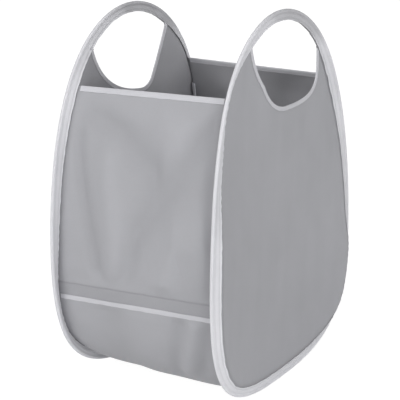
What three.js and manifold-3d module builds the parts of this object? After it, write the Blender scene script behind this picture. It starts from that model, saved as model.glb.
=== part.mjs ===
// Pop up laundry hamper: two sprung wire hoops in tape bindings, a fabric side panel in each,
// and a fabric wall between them that runs down the front, under the bottom and up the back.
// Millimetres, +Z up. Origin on the floor, midway between the hoops and between front and back.
// Front is -Y, the right side is +X.

import * as THREE from 'three';
import { mergeVertices } from 'three/addons/utils/BufferGeometryUtils.js';
import Module from 'manifold-3d';

const wasm = await Module();
wasm.setup();

// Hoops, measured on the outer edge of the tape
const hoopHeight = 640; // floor to the top of a handle
const hoopDepth = 480; // front to back at the widest
const hoopSpacing = 307; // between the two outer edges, on average
const hoopBow = 4; // how much further out a hoop's sides stand than its top and foot
const footCut = 0.5; // the foot is pressed flat on the floor by this much
const hoopStations = 64; // places round a hoop where its section is worked out
const topRoundShare = 1; // 1 makes the top as round as an ellipse
const footRoundShare = 0.73; // below 1 flattens the foot
const eggShare = 0.155; // moves the widest place below the middle
const bellyShare = -0.187; // below 0 makes the sides leaner than an ellipse

// Tape binding folded round the wire, with its open edge at the seam
const tapeWidth = 18; // outer edge to seam
const tapeWall = 0.8; // one layer of tape
const beadOuterPoints = 8; // points round the outside of the bead over the wire
const beadInnerPoints = 7; // points round its channel
// How the tape turns on its way up each side of a hoop: shares of the hoop's height, each with
// the degrees that it turns outwards there. The near side is the front of the right hoop and the
// back of the left one, where both turn alike, and the far side is the other.
const nearTurnShares = [
  [0, 0], [0.06, -28], [0.15, -46], [0.38, -48], [0.47, -32], [0.53, -15], [0.6, 4],
  [0.7, 14], [0.77, 26], [0.86, 29], [0.92, 17], [0.96, 5], [1, 0],
];
const farTurnShares = {
  right: [
    [0, 0], [0.05, -28], [0.12, -44], [0.29, -36], [0.38, -10], [0.5, 3], [0.6, 13],
    [0.68, 25], [0.76, 38], [0.84, 34], [0.92, 18], [1, 0],
  ],
  left: [
    [0, 0], [0.05, -22], [0.12, -35], [0.2, -31], [0.3, -22], [0.4, -2], [0.5, 9], [0.6, 16],
    [0.68, 25], [0.76, 38], [0.84, 34], [0.92, 18], [1, 0],
  ],
};

// Spring wire and the sleeve that joins its ends
const wireDiameter = 2.5;
const wireEndGap = 1; // between the two ends inside the sleeve
const sleeveWall = 0.45;
const sleeveLength = 22;
const wireSides = 6;

// Fabric and clearances
const fabric = 1; // thickness of the coated cloth
const clearance = 0.3; // between pieces that touch
const sleeveClearance = 0.4; // between the sleeve and the tape's channel round it
const stripClearance = 0.4; // between a strip and the curved cloth that it lies on
const seamTuck = 12; // depth of cloth held inside the tape
const seamReach = 3; // straight cloth past the tape before a side panel turns
const foldOut = 1.9; // how far past the tape the wall's cloth turns
const foldDrop = 1; // and how far it drops there
const foldRun = 2; // run of cloth from that turn to where the wall's own shape starts

// Wall heights and their small sewing errors, measured at the seam
const frontEdgeDrop = 122; // from the top of the hoops to the front wall's edge
const frontEdgeRise = 3; // how much higher its right end is
const backEdgeDrop = 125;
const backEdgeRise = -11;
const seamHeight = 171; // where the bottom's cloth meets the front and back panels
const frontSeamRise = 20;
const backSeamRise = 0;
const seamGap = 0.4; // between the two cloth edges under a seam tape
const baseSag = 12; // how far the bottom hangs below its seams
const sagPower = 8; // higher brings the sag closer to the hoops

// Edge tapes, seam tapes and facings
const edgeTapeHeight = 10;
const edgeTapeWall = 0.8;
const seamTapeHeight = 8;
const seamTapeWall = 0.8;
const facingHeight = 27;
const facingWall = 0.6;
const stripEndShare = 0.97; // of the half width, where strips along the wall end
const nudgeShare = 0.01; // of the half width, to find which way the cloth runs
const facingRowShares = [0, 0.5, 1];
const wallColumns = 5; // columns of cloth each side of the middle
const rowShare = 0.08; // of the pitch of the stations, the least distance between two rows
const splitTolerance = 0.1; // between diagonals that count as equally far out

// Hand holes: an edge runs down in a shallow bow from the near side of the tape to a rounded
// corner, then along a curve between an ellipse and a rectangle up to the far side. Drops are from
// the top of the hoop, a corner is measured from the hoop's middle and a reach from the corner, and
// a power of 2 is an ellipse. round is how far to each side of it a corner is rounded. The tape on
// the edge ends below the far end of the curve.
const handholeNearDrop = 51; // to where the bow starts
const handholeInset = 9; // from the seam to that place
const handholeShapes = {
  right: {
    bow: 5.4, corner: 24, round: 50, floorDrop: 162, reach: 155, farDrop: 80, power: 4.3, tapeDrop: 12,
  },
  left: {
    bow: 1, corner: 36, round: 24, floorDrop: 157, reach: 158, farDrop: 20, power: 2.25, tapeDrop: 54,
  },
};
const handholeBowSteps = 5;
const handholeCornerSteps = 6;
const handholeCurveSteps = 18;
const handholeTape = 7; // visible width of the tape on its edge
const handholeTapeWall = 0.8;
const handholeTapeStartShare = 0.08; // of the bow, to where that tape starts
const overrun = 20; // how far a cutter runs past what it cuts
const handleTaper = 30; // over which the tape closes on the wire in the handle
const handleMargin = 18; // inside the near end of the hole's edge where that starts

// Side panels
const panelCentreHeight = 290; // height of the middle of the panel's pattern of rings
const panelDish = 3; // how far inwards the middle lies from its seam's mean plane
const panelRingShares = [0, 0.42, 0.82];

// Care label, a blank folded loop in the back left seam
const labelDrop = 182; // from the top of the hoop to its middle
const labelWidth = 26;
const labelLength = 19; // from the seam to its folded end
const labelWall = 0.4;
const labelTurn = 45; // degrees from the wall that it stands out at
const labelStart = 1; // from the seam to its sewn end

// Main folds of the hanging cloth: places as shares of the half width and of the wall's height
const frontFoldShares = [
  { from: [-0.62, 0.93], to: [0.1, 0.52], depthShare: -1, widthShare: 0.16 },
  { from: [-0.72, 0.66], to: [-0.6, 0.06], depthShare: -0.8, widthShare: 0.12 },
  { from: [-0.36, 0.5], to: [-0.4, 0.05], depthShare: 0.8, widthShare: 0.18 },
  { from: [0.62, 0.6], to: [0.5, 0.12], depthShare: 0.7, widthShare: 0.2 },
  { from: [0.86, 0.95], to: [0.88, 0.05], depthShare: -0.9, widthShare: 0.1 },
];
const backFoldShares = [
  { from: [-0.5, 0.9], to: [-0.3, 0.3], depthShare: -0.8, widthShare: 0.18 },
  { from: [0.4, 0.95], to: [0.55, 0.2], depthShare: 0.9, widthShare: 0.2 },
];
const foldDepth = 4; // depth of a fold whose share is 1
const foldFadeShare = 0.16; // of the wall's height, over which folds fade into its seam and edge

const wireRadius = wireDiameter / 2;
const sleeveBore = wireRadius + clearance;
const sleeveRadius = sleeveBore + sleeveWall;
const channelRadius = sleeveRadius + sleeveClearance;
const beadRadius = channelRadius + tapeWall;
const slotHalf = fabric + clearance * 1.5;
const closedSlotHalf = clearance;
const tuckOffset = (fabric + clearance) / 2;
const half = hoopStations / 2;
const frontEdgeHeight = hoopHeight - frontEdgeDrop;
const backEdgeHeight = hoopHeight - backEdgeDrop;
const handholeNear = hoopHeight - handholeNearDrop;
const labelHeight = hoopHeight - labelDrop;

// Colours, roughness and metalness of the finishes
const clothLook = { color: 0xa3a3a9, roughness: 0.9, metalness: 0, side: THREE.DoubleSide };
const tapeLook = { color: 0xd2d2d6, roughness: 0.8, metalness: 0 };
const steelLook = { color: 0x8c8f94, roughness: 0.35, metalness: 0.9 };
const labelLook = { color: 0xe8e8ea, roughness: 0.7, metalness: 0 };

const radians = THREE.MathUtils.degToRad;
const mix = THREE.MathUtils.lerp;
const smooth = THREE.MathUtils.smoothstep;

// Outer edge of a hoop's tape: an ellipse's angle with its sine raised to a power that changes
// from top to foot, drawn out by an exponential of the cosine so that it is an egg.
class HoopEdge extends THREE.Curve {
  static reach(angle) {
    const c = Math.cos(angle);
    const s = Math.abs(Math.sin(angle));
    const power = mix(footRoundShare, topRoundShare, (1 + c) / 2);
    return s ** power * Math.exp(bellyShare * s * s - eggShare * c);
  }

  static widest = Math.max(...Array.from({ length: 361 }, (_, i) => HoopEdge.reach(radians(i))));

  getPoint(t, target = new THREE.Vector3()) {
    const angle = 2 * Math.PI * t;
    const c = Math.cos(angle);
    const y = (-Math.sign(Math.sin(angle)) * HoopEdge.reach(angle) * hoopDepth) / 2 / HoopEdge.widest;
    const z = ((1 + c) / 2) * (hoopHeight + footCut) - footCut;
    return target.set(hoopSpacing / 2 - hoopBow * Math.cos(2 * angle), y, z);
  }
}

// The second number of a table at a place among its first ones, on straight lines between them
function readTable(table, place) {
  const i = Math.max(1, table.findIndex(([at]) => at >= place));
  const [[from, a], [to, b]] = [table[i - 1], table[i]];
  return mix(a, b, (place - from) / (to - from));
}

// Stations round the hoop, evenly spaced from the top, down the front, along the foot and up
// the back. Each has the tape's outer edge, the way it points and the way its outer face looks.
function makeStations(farTurns) {
  const curve = new HoopEdge();
  curve.arcLengthDivisions = 20 * hoopStations;
  const points = curve.getSpacedPoints(hoopStations).slice(0, hoopStations);
  return points.map((edge, i) => {
    const next = points[(i + 1) % hoopStations];
    const last = points[(i + hoopStations - 1) % hoopStations];
    const run = next.clone().sub(last).setX(0).normalize();
    const outward = new THREE.Vector3(0, run.z, -run.y);
    const high = THREE.MathUtils.clamp(edge.z / hoopHeight, 0, 1);
    const turn = radians(readTable(i < half ? nearTurnShares : farTurns, high));
    const across = new THREE.Vector3(1, 0, 0);
    const flange = outward.clone().multiplyScalar(Math.cos(turn)).addScaledVector(across, Math.sin(turn));
    const face = outward.clone().multiplyScalar(-Math.sin(turn)).addScaledVector(across, Math.cos(turn));
    return { edge, outward, flange, face };
  });
}

const stations = makeStations(farTurnShares.right);
const leftStations = makeStations(farTurnShares.left);
const pitch = stations[0].edge.distanceTo(stations[1].edge);

// A value read between the stations of a hoop on the straight line from one to the next
function between(ring, k, read) {
  const low = Math.floor(k);
  const a = read(ring[((low % hoopStations) + hoopStations) % hoopStations]);
  const b = read(ring[(((low + 1) % hoopStations) + hoopStations) % hoopStations]);
  return a.lerp(b, k - low);
}

// A point in the tape's own section: deep from its outer edge towards the seam, out towards its
// outer face. side is 1 for the right hoop and -1 for the left, whose edge is the right one's
// turned half round. k counts from the top down the front on both.
function tapePoint(k, deep, out, side = 1) {
  const ring = side > 0 ? stations : leftStations;
  const point = between(ring, side > 0 ? k : hoopStations - k, (s) => s.edge.clone()
    .addScaledVector(s.flange, -deep)
    .addScaledVector(s.face, out));
  point.x *= side;
  point.y *= side;
  return point;
}

// The station, counted from the top down the front, where the seam passes a height
function stationAt(height, side = 1) {
  let k = 0;
  while (k < half - 1 && tapePoint(k + 1, tapeWidth, 0, side).z > height) k += 1;
  const above = tapePoint(k, tapeWidth, 0, side).z;
  const below = tapePoint(k + 1, tapeWidth, 0, side).z;
  return k + (above - height) / (above - below);
}

// How far from the middle the seam is at a height, on a hoop's near side or its far side
function seamReachAt(height, near) {
  const side = near ? 1 : -1;
  return -tapePoint(stationAt(height, side), tapeWidth, 0, side).y;
}

// Two triangles for the corners of a four sided face, split along the diagonal that stands
// further out to the side, so that layers that lie on each other are split alike, or along the
// shorter one where neither does
function split(points, a, b, c, d) {
  const outer = Math.abs(points[a].x + points[c].x) - Math.abs(points[b].x + points[d].x);
  const longer = points[a].distanceToSquared(points[c]) - points[b].distanceToSquared(points[d]);
  const first = Math.abs(outer) > splitTolerance ? outer > 0 : longer <= 0;
  return first ? [a, b, c, a, c, d] : [a, b, d, b, c, d];
}

// Joins a grid of points into one closed solid. Each row is a closed outline, rows follow each
// other along the piece, and caps fills the two end outlines of a piece that isn't a ring.
function loft(rows, caps) {
  const columns = rows[0].length;
  const points = rows.flat();
  const index = [];
  const last = caps ? rows.length - 1 : rows.length;
  for (let i = 0; i < last; i += 1) {
    const here = i * columns;
    const there = ((i + 1) % rows.length) * columns;
    for (let j = 0; j < columns; j += 1) {
      const n = (j + 1) % columns;
      index.push(...split(points, here + j, here + n, there + n, there + j));
    }
  }
  if (caps) {
    const end = (rows.length - 1) * columns;
    for (const [a, b, c] of caps) index.push(a, c, b, end + a, end + b, end + c);
  }
  return solid(points, index);
}

// A geometry from points and triangles, with its faces turned outwards
function solid(points, index) {
  const geometry = new THREE.BufferGeometry();
  geometry.setAttribute('position', new THREE.Float32BufferAttribute(points.flatMap((p) => p.toArray()), 3));
  let volume = 0;
  for (let i = 0; i < index.length; i += 3) {
    const [a, b, c] = [points[index[i]], points[index[i + 1]], points[index[i + 2]]];
    volume += a.dot(b.clone().cross(c));
  }
  geometry.setIndex(volume > 0 ? index : index.slice().reverse());
  return geometry;
}

// Triangles that fill a flat outline of two coordinates, all turning the way that it turns
function fill(points) {
  const turn = Math.sign(THREE.ShapeUtils.area(points));
  return THREE.ShapeUtils.triangulateShape(points, []).map(([a, b, c]) => {
    const same = Math.sign(THREE.ShapeUtils.area([points[a], points[b], points[c]])) === turn;
    return same ? [a, b, c] : [a, c, b];
  });
}

// Triangles that fill the end of a sheet whose outline runs out along one face and back
function sheetCaps(columns) {
  const caps = [];
  for (let j = 0; j < columns - 1; j += 1) {
    const back = 2 * columns - 1 - j;
    caps.push([j, j + 1, back], [j + 1, back - 1, back]);
  }
  return caps;
}

// The unit normal of a grid of points at one place, from its neighbours
function gridNormal(grid, i, j, ring) {
  const rows = grid.length;
  const up = grid[ring ? (i + rows - 1) % rows : Math.max(i - 1, 0)][j];
  const down = grid[ring ? (i + 1) % rows : Math.min(i + 1, rows - 1)][j];
  const left = grid[i][Math.max(j - 1, 0)];
  const right = grid[i][Math.min(j + 1, grid[i].length - 1)];
  return right.clone().sub(left).cross(down.clone().sub(up)).normalize();
}

// Cloth of a given thickness round a grid of points, moved along its normal by an offset
function sheet(grid, thickness, offset = 0, ring = false) {
  const rows = grid.map((row, i) => {
    const normals = row.map((_, j) => gridNormal(grid, i, j, ring));
    const face = row.map((p, j) => p.clone().addScaledVector(normals[j], offset + thickness / 2));
    const back = row.map((p, j) => p.clone().addScaledVector(normals[j], offset - thickness / 2));
    return [...face, ...back.reverse()];
  });
  return loft(rows, ring ? null : sheetCaps(grid[0].length));
}

// Boolean cuts
function toManifold(geometry) {
  const bare = geometry.clone();
  bare.deleteAttribute('normal');
  bare.deleteAttribute('uv');
  const merged = mergeVertices(bare);
  const vertProperties = new Float32Array(merged.attributes.position.array);
  const triVerts = new Uint32Array(merged.index.array);
  return new wasm.Manifold(new wasm.Mesh({ numProp: 3, vertProperties, triVerts }));
}

function cut(geometry, ...cutters) {
  const result = cutters.reduce((body, tool) => body.subtract(toManifold(tool)), toManifold(geometry));
  const mesh = result.getMesh();
  const geometryOut = new THREE.BufferGeometry();
  geometryOut.setAttribute('position', new THREE.BufferAttribute(mesh.vertProperties, 3));
  geometryOut.setIndex(new THREE.BufferAttribute(mesh.triVerts, 1));
  return geometryOut;
}

// The tape's section: a bead round the wire's channel and two legs with the seam between them
function tapeSection(slot, swell = 0) {
  const outer = tapeWall + swell;
  const arc = (radius, count) => Array.from({ length: count }, (_, i) => {
    const start = Math.asin(Math.min(1, (slot + (radius - channelRadius)) / radius));
    const angle = mix(start, 2 * Math.PI - start, i / (count - 1));
    return new THREE.Vector2(beadRadius + radius * Math.cos(angle), radius * Math.sin(angle));
  });
  const outside = arc(channelRadius + outer, beadOuterPoints);
  const end = tapeWidth + swell;
  const first = new THREE.Vector2(end, slot + outer);
  const last = new THREE.Vector2(end, -slot - outer);
  if (swell > 0) return [first, ...outside, last];
  const inside = arc(channelRadius, beadInnerPoints).reverse();
  const lips = [new THREE.Vector2(tapeWidth, -slot), new THREE.Vector2(tapeWidth, slot)];
  return [first, ...outside, last, lips[0], ...inside, lips[1]];
}

// How far apart the legs stand at a station: closed along the handle, open over the cloth
function slotAt(k, side) {
  const seam = tapePoint(k, tapeWidth, 0, side);
  const corner = seamReachAt(handholeNear, true) - handleMargin;
  if (seam.z < handholeNear) return slotHalf;
  return mix(closedSlotHalf, slotHalf, smooth(Math.abs(seam.y), corner - handleTaper, corner));
}

function hoopBinding(side) {
  const rows = stations.map((_, k) => tapeSection(slotAt(k, side)).map((p) => {
    const point = tapePoint(k, p.x, p.y, side);
    return point.setZ(Math.max(point.z, 0));
  }));
  return loft(rows, null);
}

// The same tape swollen by a clearance and filled, to cut what tucks against it
function bindingCutter(side) {
  return loft(stations.map((_, k) => tapeSection(slotHalf, clearance)
    .map((p) => tapePoint(k, p.x, p.y, side))), null);
}

// The wire starts and ends inside its sleeve, halfway between two stations of the foot
function hoopWire(side) {
  const join = half + 0.5;
  const back = wireEndGap / 2 / pitch;
  const places = [join + back];
  for (let k = half + 1; k <= half + hoopStations; k += 1) places.push(k);
  places.push(join + hoopStations - back);
  const circle = Array.from({ length: wireSides }, (_, i) => {
    const angle = (2 * Math.PI * i) / wireSides;
    return new THREE.Vector2(beadRadius + wireRadius * Math.cos(angle), wireRadius * Math.sin(angle));
  });
  const rows = places.map((k) => circle.map((p) => tapePoint(k, p.x, p.y, side)));
  return loft(rows, fill(circle));
}

function wireSleeve(side) {
  const profile = [
    [sleeveBore, -1], [sleeveRadius, -1], [sleeveRadius, 1], [sleeveBore, 1], [sleeveBore, -1],
  ];
  const points = profile.map(([radius, end]) => new THREE.Vector2(radius, (end * sleeveLength) / 2));
  const geometry = new THREE.LatheGeometry(points, 2 * wireSides);
  const from = tapePoint(half, beadRadius, 0, side);
  const to = tapePoint(half + 1, beadRadius, 0, side);
  const run = to.clone().sub(from).normalize();
  geometry.applyQuaternion(new THREE.Quaternion().setFromUnitVectors(new THREE.Vector3(0, 1, 0), run));
  const centre = from.lerp(to, 0.5);
  return geometry.translate(centre.x, centre.y, centre.z);
}

// Side panel: rings of cloth from its middle out to the seam, then straight into the tape
function sidePanelGrid(side) {
  const rim = stations.map((_, k) => tapePoint(k, tapeWidth + seamReach, tuckOffset, side));
  const mean = rim.reduce((sum, p) => sum + p.x, 0) / rim.length;
  const middle = new THREE.Vector3(mean - side * panelDish, 0, panelCentreHeight);
  return stations.map((_, k) => [
    ...panelRingShares.map((share) => {
      const point = middle.clone().lerp(rim[k], share);
      return point.setX(mix(middle.x, rim[k].x, share * share));
    }),
    rim[k],
    tapePoint(k, tapeWidth + clearance, tuckOffset, side),
    tapePoint(k, tapeWidth - seamTuck, tuckOffset, side),
  ]);
}

// The hole's lower edge from its near end to its far end. It can be cut short by a share of the
// bow at its near end and by a drop at its far end.
function handholeEdge(side, startShare = 0, drop = 0) {
  const shape = handholeShapes[side > 0 ? 'right' : 'left'];
  const near = new THREE.Vector2(handholeInset - seamReachAt(handholeNear, true), handholeNear);
  const corner = new THREE.Vector2(-shape.corner, hoopHeight - shape.floorDrop);
  const rise = shape.floorDrop - shape.farDrop;
  const curve = (angle) => {
    const radius = (Math.sin(angle) ** shape.power + Math.cos(angle) ** shape.power) ** (-1 / shape.power);
    return new THREE.Vector2(
      corner.x + shape.reach * radius * Math.sin(angle),
      corner.y + rise * (1 - radius * Math.cos(angle)),
    );
  };
  const before = corner.clone().lerp(near, shape.round / corner.distanceTo(near));
  const run = before.clone().sub(near).normalize();
  const down = new THREE.Vector2(run.y, -run.x).multiplyScalar(2 * shape.bow);
  const pull = near.clone().lerp(before, 0.5).add(down);
  const bend = (a, b, c, t) => a.clone().lerp(b, t).lerp(b.clone().lerp(c, t), t);
  const first = Math.atan2(shape.round, shape.reach);
  const last = Math.atan2(rise, drop);
  const edge = [];
  for (let i = 0; i < handholeBowSteps; i += 1) {
    edge.push(bend(near, pull, before, mix(startShare, 1, i / handholeBowSteps)));
  }
  for (let i = 0; i < handholeCornerSteps; i += 1) {
    edge.push(bend(before, corner, curve(first), i / handholeCornerSteps));
  }
  for (let i = 0; i <= handholeCurveSteps; i += 1) {
    edge.push(curve(mix(first, last, i / handholeCurveSteps)));
  }
  edge.forEach((p) => p.setX(p.x * side));
  return edge;
}

function handholeCutter(side) {
  const top = hoopHeight + overrun;
  const edge = handholeEdge(side);
  const ends = [edge.at(-1), edge[0]].map((end) => new THREE.Vector2(end.x, top));
  const outline = [...edge, ...ends];
  const centre = side * hoopSpacing / 2;
  const deep = overrun + hoopBow;
  const rows = [-deep, deep].map((x) => outline.map((p) => new THREE.Vector3(centre + x, p.x, p.y)));
  return loft(rows, fill(outline));
}

// One disc of cloth: the rings share a single middle point on each face
function sidePanel(side) {
  const grid = sidePanelGrid(side);
  const faces = [fabric / 2, -fabric / 2].map((offset) => grid.map((row, i) => row.map((p, j) => {
    const normal = j === 0 ? new THREE.Vector3(side, 0, 0) : gridNormal(grid, i, j, true);
    if (normal.x * side < 0) normal.negate();
    return p.clone().addScaledVector(normal, offset);
  })));
  const points = [];
  const index = [];
  const rings = grid[0].length - 1;
  const at = (face, k, ring) => (ring === 0
    ? face * (1 + hoopStations * rings)
    : face * (1 + hoopStations * rings) + 1 + ((k + hoopStations) % hoopStations) * rings + ring - 1);
  faces.forEach((face) => {
    points.push(face[0][0]);
    face.forEach((row) => points.push(...row.slice(1)));
  });
  for (let k = 0; k < hoopStations; k += 1) {
    index.push(at(0, k, 0), at(0, k, 1), at(0, k + 1, 1));
    index.push(at(1, k, 0), at(1, k + 1, 1), at(1, k, 1));
    for (let ring = 1; ring < rings; ring += 1) {
      const corners = (face) => [
        at(face, k, ring), at(face, k, ring + 1), at(face, k + 1, ring + 1), at(face, k + 1, ring),
      ];
      index.push(...split(points, ...corners(0)), ...split(points, ...corners(1).reverse()));
    }
    index.push(at(0, k, rings), at(1, k, rings), at(1, k + 1, rings));
    index.push(at(0, k, rings), at(1, k + 1, rings), at(0, k + 1, rings));
  }
  return cut(solid(points, index), handholeCutter(side));
}

// Where the side panel's middle layer lies at a place on it
function panelDepth(side, y, z) {
  const grid = sidePanelGrid(side);
  const rim = panelRingShares.length;
  const angle = Math.atan2(z - panelCentreHeight, -y);
  let best = null;
  grid.forEach((row, k) => {
    const next = grid[(k + 1) % hoopStations];
    const a = Math.atan2(row[rim].z - panelCentreHeight, -row[rim].y);
    const b = Math.atan2(next[rim].z - panelCentreHeight, -next[rim].y);
    const span = Math.atan2(Math.sin(b - a), Math.cos(b - a));
    const part = Math.atan2(Math.sin(angle - a), Math.cos(angle - a)) / span;
    if (part >= 0 && part <= 1) best = row.map((p, j) => p.clone().lerp(next[j], part));
  });
  const radius = Math.hypot(y, z - panelCentreHeight);
  const radii = best.map((p) => Math.hypot(p.y, p.z - panelCentreHeight));
  let ring = 0;
  while (ring < rim - 1 && radii[ring + 1] < radius) ring += 1;
  return mix(best[ring].x, best[ring + 1].x, (radius - radii[ring]) / (radii[ring + 1] - radii[ring]));
}

// Tape folded over the hand hole's lower edge, its ends tucked against the hoop's tape
function handholeBinding(side) {
  const shape = handholeShapes[side > 0 ? 'right' : 'left'];
  const edge = handholeEdge(side, handholeTapeStartShare, shape.tapeDrop);
  const outer = fabric / 2 + stripClearance + handholeTapeWall;
  const inner = fabric / 2 + stripClearance;
  const lip = stripClearance + handholeTapeWall;
  const section = [
    [-lip, outer], [handholeTape - lip, outer], [handholeTape - lip, inner], [-stripClearance, inner],
    [-stripClearance, -inner], [handholeTape - lip, -inner], [handholeTape - lip, -outer], [-lip, -outer],
  ].map(([into, out]) => new THREE.Vector2(into, out));
  const rows = edge.map((p, i) => {
    const run = edge[Math.min(i + 1, edge.length - 1)].clone().sub(edge[Math.max(i - 1, 0)]).normalize();
    const away = new THREE.Vector2(run.y, -run.x).multiplyScalar(side);
    const reachedY = p.x + away.x * handholeTape;
    const reachedZ = p.y + away.y * handholeTape;
    const here = new THREE.Vector3(panelDepth(side, p.x, p.y), p.x, p.y);
    const there = new THREE.Vector3(panelDepth(side, reachedY, reachedZ), reachedY, reachedZ);
    const into = there.sub(here).normalize();
    const out = new THREE.Vector3(side, 0, 0).addScaledVector(into, -side * into.x).normalize();
    return section.map((q) => here.clone().addScaledVector(into, q.x).addScaledVector(out, q.y));
  });
  return cut(loft(rows, fill(section)), bindingCutter(side));
}

// Fold height at a place on the wall, where across is a share of the half width and up is a
// share of the wall's height: each fold is a ridge that fades to each side of its line.
function foldAt(folds, across, up) {
  const place = new THREE.Vector2(across, up);
  return folds.reduce((sum, fold) => {
    const from = new THREE.Vector2(...fold.from);
    const along = new THREE.Vector2(...fold.to).sub(from);
    const share = THREE.MathUtils.clamp(place.clone().sub(from).dot(along) / along.lengthSq(), 0, 1);
    const away = place.distanceTo(from.addScaledVector(along, share)) / fold.widthShare;
    return sum + foldDepth * fold.depthShare * Math.exp(-away * away);
  }, 0);
}

// A point on the middle of the wall's cloth. k counts stations from the top down the front;
// across runs from -1 at the left turn of the cloth to 1 at the right one.
function wallPoint(k, across) {
  const [left, right] = [-1, 1].map((side) => {
    const turn = tapePoint(k, tapeWidth + foldOut, -tuckOffset - foldDrop, side);
    return turn.setX(turn.x - side * foldRun);
  });
  const point = left.lerp(right, (1 + across) / 2);
  const outward = between(stations, k, (s) => s.outward.clone());
  const edgeHeight = k < half ? frontEdgeHeight : backEdgeHeight;
  const up = THREE.MathUtils.clamp((point.z - seamHeight) / (edgeHeight - seamHeight), 0, 1);
  const folds = k < half ? frontFoldShares : backFoldShares;
  const calm = smooth(up, foldFadeShare / 2, foldFadeShare) * smooth(1 - up, 0, foldFadeShare);
  const fade = (1 - across ** sagPower) * calm;
  const hang = outward.z < 0 ? baseSag * outward.z * outward.z * (1 - Math.abs(across) ** sagPower) : 0;
  return point.addScaledVector(outward, hang + fade * foldAt(folds, across, up));
}

// Columns across the wall: into the left tape, round its turn, over the wall and back
const columnShares = Array.from({ length: 2 * wallColumns + 1 }, (_, j) => (
  Math.sin((Math.PI / 2) * (j / wallColumns - 1))));

function wallRow(stationOf) {
  const seamColumn = (side) => {
    const k = stationOf(side);
    return [
      tapePoint(k, tapeWidth - seamTuck, -tuckOffset, side),
      tapePoint(k, tapeWidth + clearance, -tuckOffset, side),
      tapePoint(k, tapeWidth + foldOut, -tuckOffset - foldDrop, side),
    ];
  };
  const middle = columnShares.map((across) => wallPoint(stationOf(across), across));
  return [...seamColumn(-1), ...middle, ...seamColumn(1).reverse()];
}

// Stations of the wall's edges and seams at a share of the half width
const frontEdge = (across) => stationAt(frontEdgeHeight + (across * frontEdgeRise) / 2);
const frontSeam = (across) => stationAt(seamHeight + (across * frontSeamRise) / 2);
const backEdge = (across) => hoopStations - stationAt(backEdgeHeight + (across * backEdgeRise) / 2);
const backSeam = (across) => hoopStations - stationAt(seamHeight + (across * backSeamRise) / 2);

// A wall panel between two lines of stations, with a row at every station between them so that
// its cloth runs exactly inside the tape. Where a line slopes past a station, that row closes up
// to the edge.
function wallPanel(fromLine, toLine, fromGap, toGap) {
  const start = (across) => fromLine(across) + fromGap / pitch;
  const stop = (across) => toLine(across) - toGap / pitch;
  const least = Math.ceil(Math.min(start(-1), start(1)) + rowShare);
  const most = Math.floor(Math.max(stop(-1), stop(1)) - rowShare);
  const rows = [wallRow(start)];
  for (let k = least; k <= most; k += 1) {
    const low = (k - least + 1) * rowShare;
    const high = (most - k + 1) * rowShare;
    rows.push(wallRow((across) => Math.min(Math.max(k, start(across) + low), stop(across) - high)));
  }
  rows.push(wallRow(stop));
  return sheet(rows, fabric);
}

// A strip along the wall. line gives its station, and section gives its outline as how far up
// along the cloth and how far out from the cloth's middle.
function wallStrip(line, section, upward) {
  const places = columnShares.map((across) => across * stripEndShare);
  const highest = Math.max(...section.map((q) => q.x));
  const lowest = Math.min(...section.map((q) => q.x));
  const rows = places.map((across) => {
    const k = line(across);
    const here = wallPoint(k, across);
    const above = highest > stripClearance + edgeTapeWall ? highest : 0;
    const up = wallPoint(k - (upward * above) / pitch, across)
      .sub(wallPoint(k - (upward * lowest) / pitch, across)).normalize();
    const aside = wallPoint(k, across + nudgeShare).sub(wallPoint(k, across - nudgeShare)).normalize();
    const out = aside.clone().cross(up).multiplyScalar(upward).normalize();
    const outward = between(stations, k, (s) => s.outward.clone());
    if (out.dot(outward) < 0) out.negate();
    return section.map((q) => here.clone().addScaledVector(up, q.x).addScaledVector(out, q.y));
  });
  return loft(rows, fill(section));
}

function outline(...pairs) {
  return pairs.map(([up, out]) => new THREE.Vector2(up, out));
}

function edgeTapeSection() {
  const inner = fabric / 2 + stripClearance;
  const outer = inner + edgeTapeWall;
  const top = stripClearance + edgeTapeWall;
  const foot = top - edgeTapeHeight;
  return outline([foot, outer], [top, outer], [top, -outer], [foot, -outer],
    [foot, -inner], [stripClearance, -inner], [stripClearance, inner], [foot, inner]);
}

function seamTapeSection() {
  const inner = fabric / 2 + stripClearance;
  const outer = inner + seamTapeWall;
  const reach = seamTapeHeight / 2;
  return outline([-reach, inner], [-reach, outer], [reach, outer], [reach, inner]);
}

function seamFacing(line, upward) {
  const offset = fabric / 2 + stripClearance + facingWall / 2;
  const rise = facingRowShares.map((share) => (upward * share * facingHeight) / pitch);
  const places = columnShares.map((across) => across * stripEndShare);
  const grid = rise.map((step) => places.map((across) => wallPoint(line(across) - step, across)));
  return sheet(grid, facingWall, -upward * offset);
}

// A blank label folded into a loop, standing out of the seam into the bag
function careLabel() {
  const ends = [-labelWidth / 2, labelWidth / 2].map((rise) => (
    tapePoint(hoopStations - stationAt(labelHeight + rise), tapeWidth + seamReach, 0, -1)));
  const angle = radians(labelTurn);
  const along = new THREE.Vector3(Math.sin(angle), -Math.cos(angle), 0);
  const aside = new THREE.Vector3(Math.cos(angle), Math.sin(angle), 0);
  const gap = clearance / 2;
  const wide = gap + labelWall;
  const start = labelStart;
  const section = outline([start, wide], [labelLength, wide], [labelLength, -wide], [start, -wide],
    [start, -gap], [labelLength - labelWall, -gap], [labelLength - labelWall, gap], [start, gap]);
  const rows = ends.map((root) => section.map((q) => root.clone()
    .addScaledVector(along, q.x)
    .addScaledVector(aside, q.y)));
  return loft(rows, fill(section));
}

const hamper = new THREE.Group();

function add(name, geometry, look) {
  const mesh = new THREE.Mesh(geometry, new THREE.MeshStandardMaterial(look));
  mesh.name = name;
  hamper.add(mesh);
}

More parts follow.
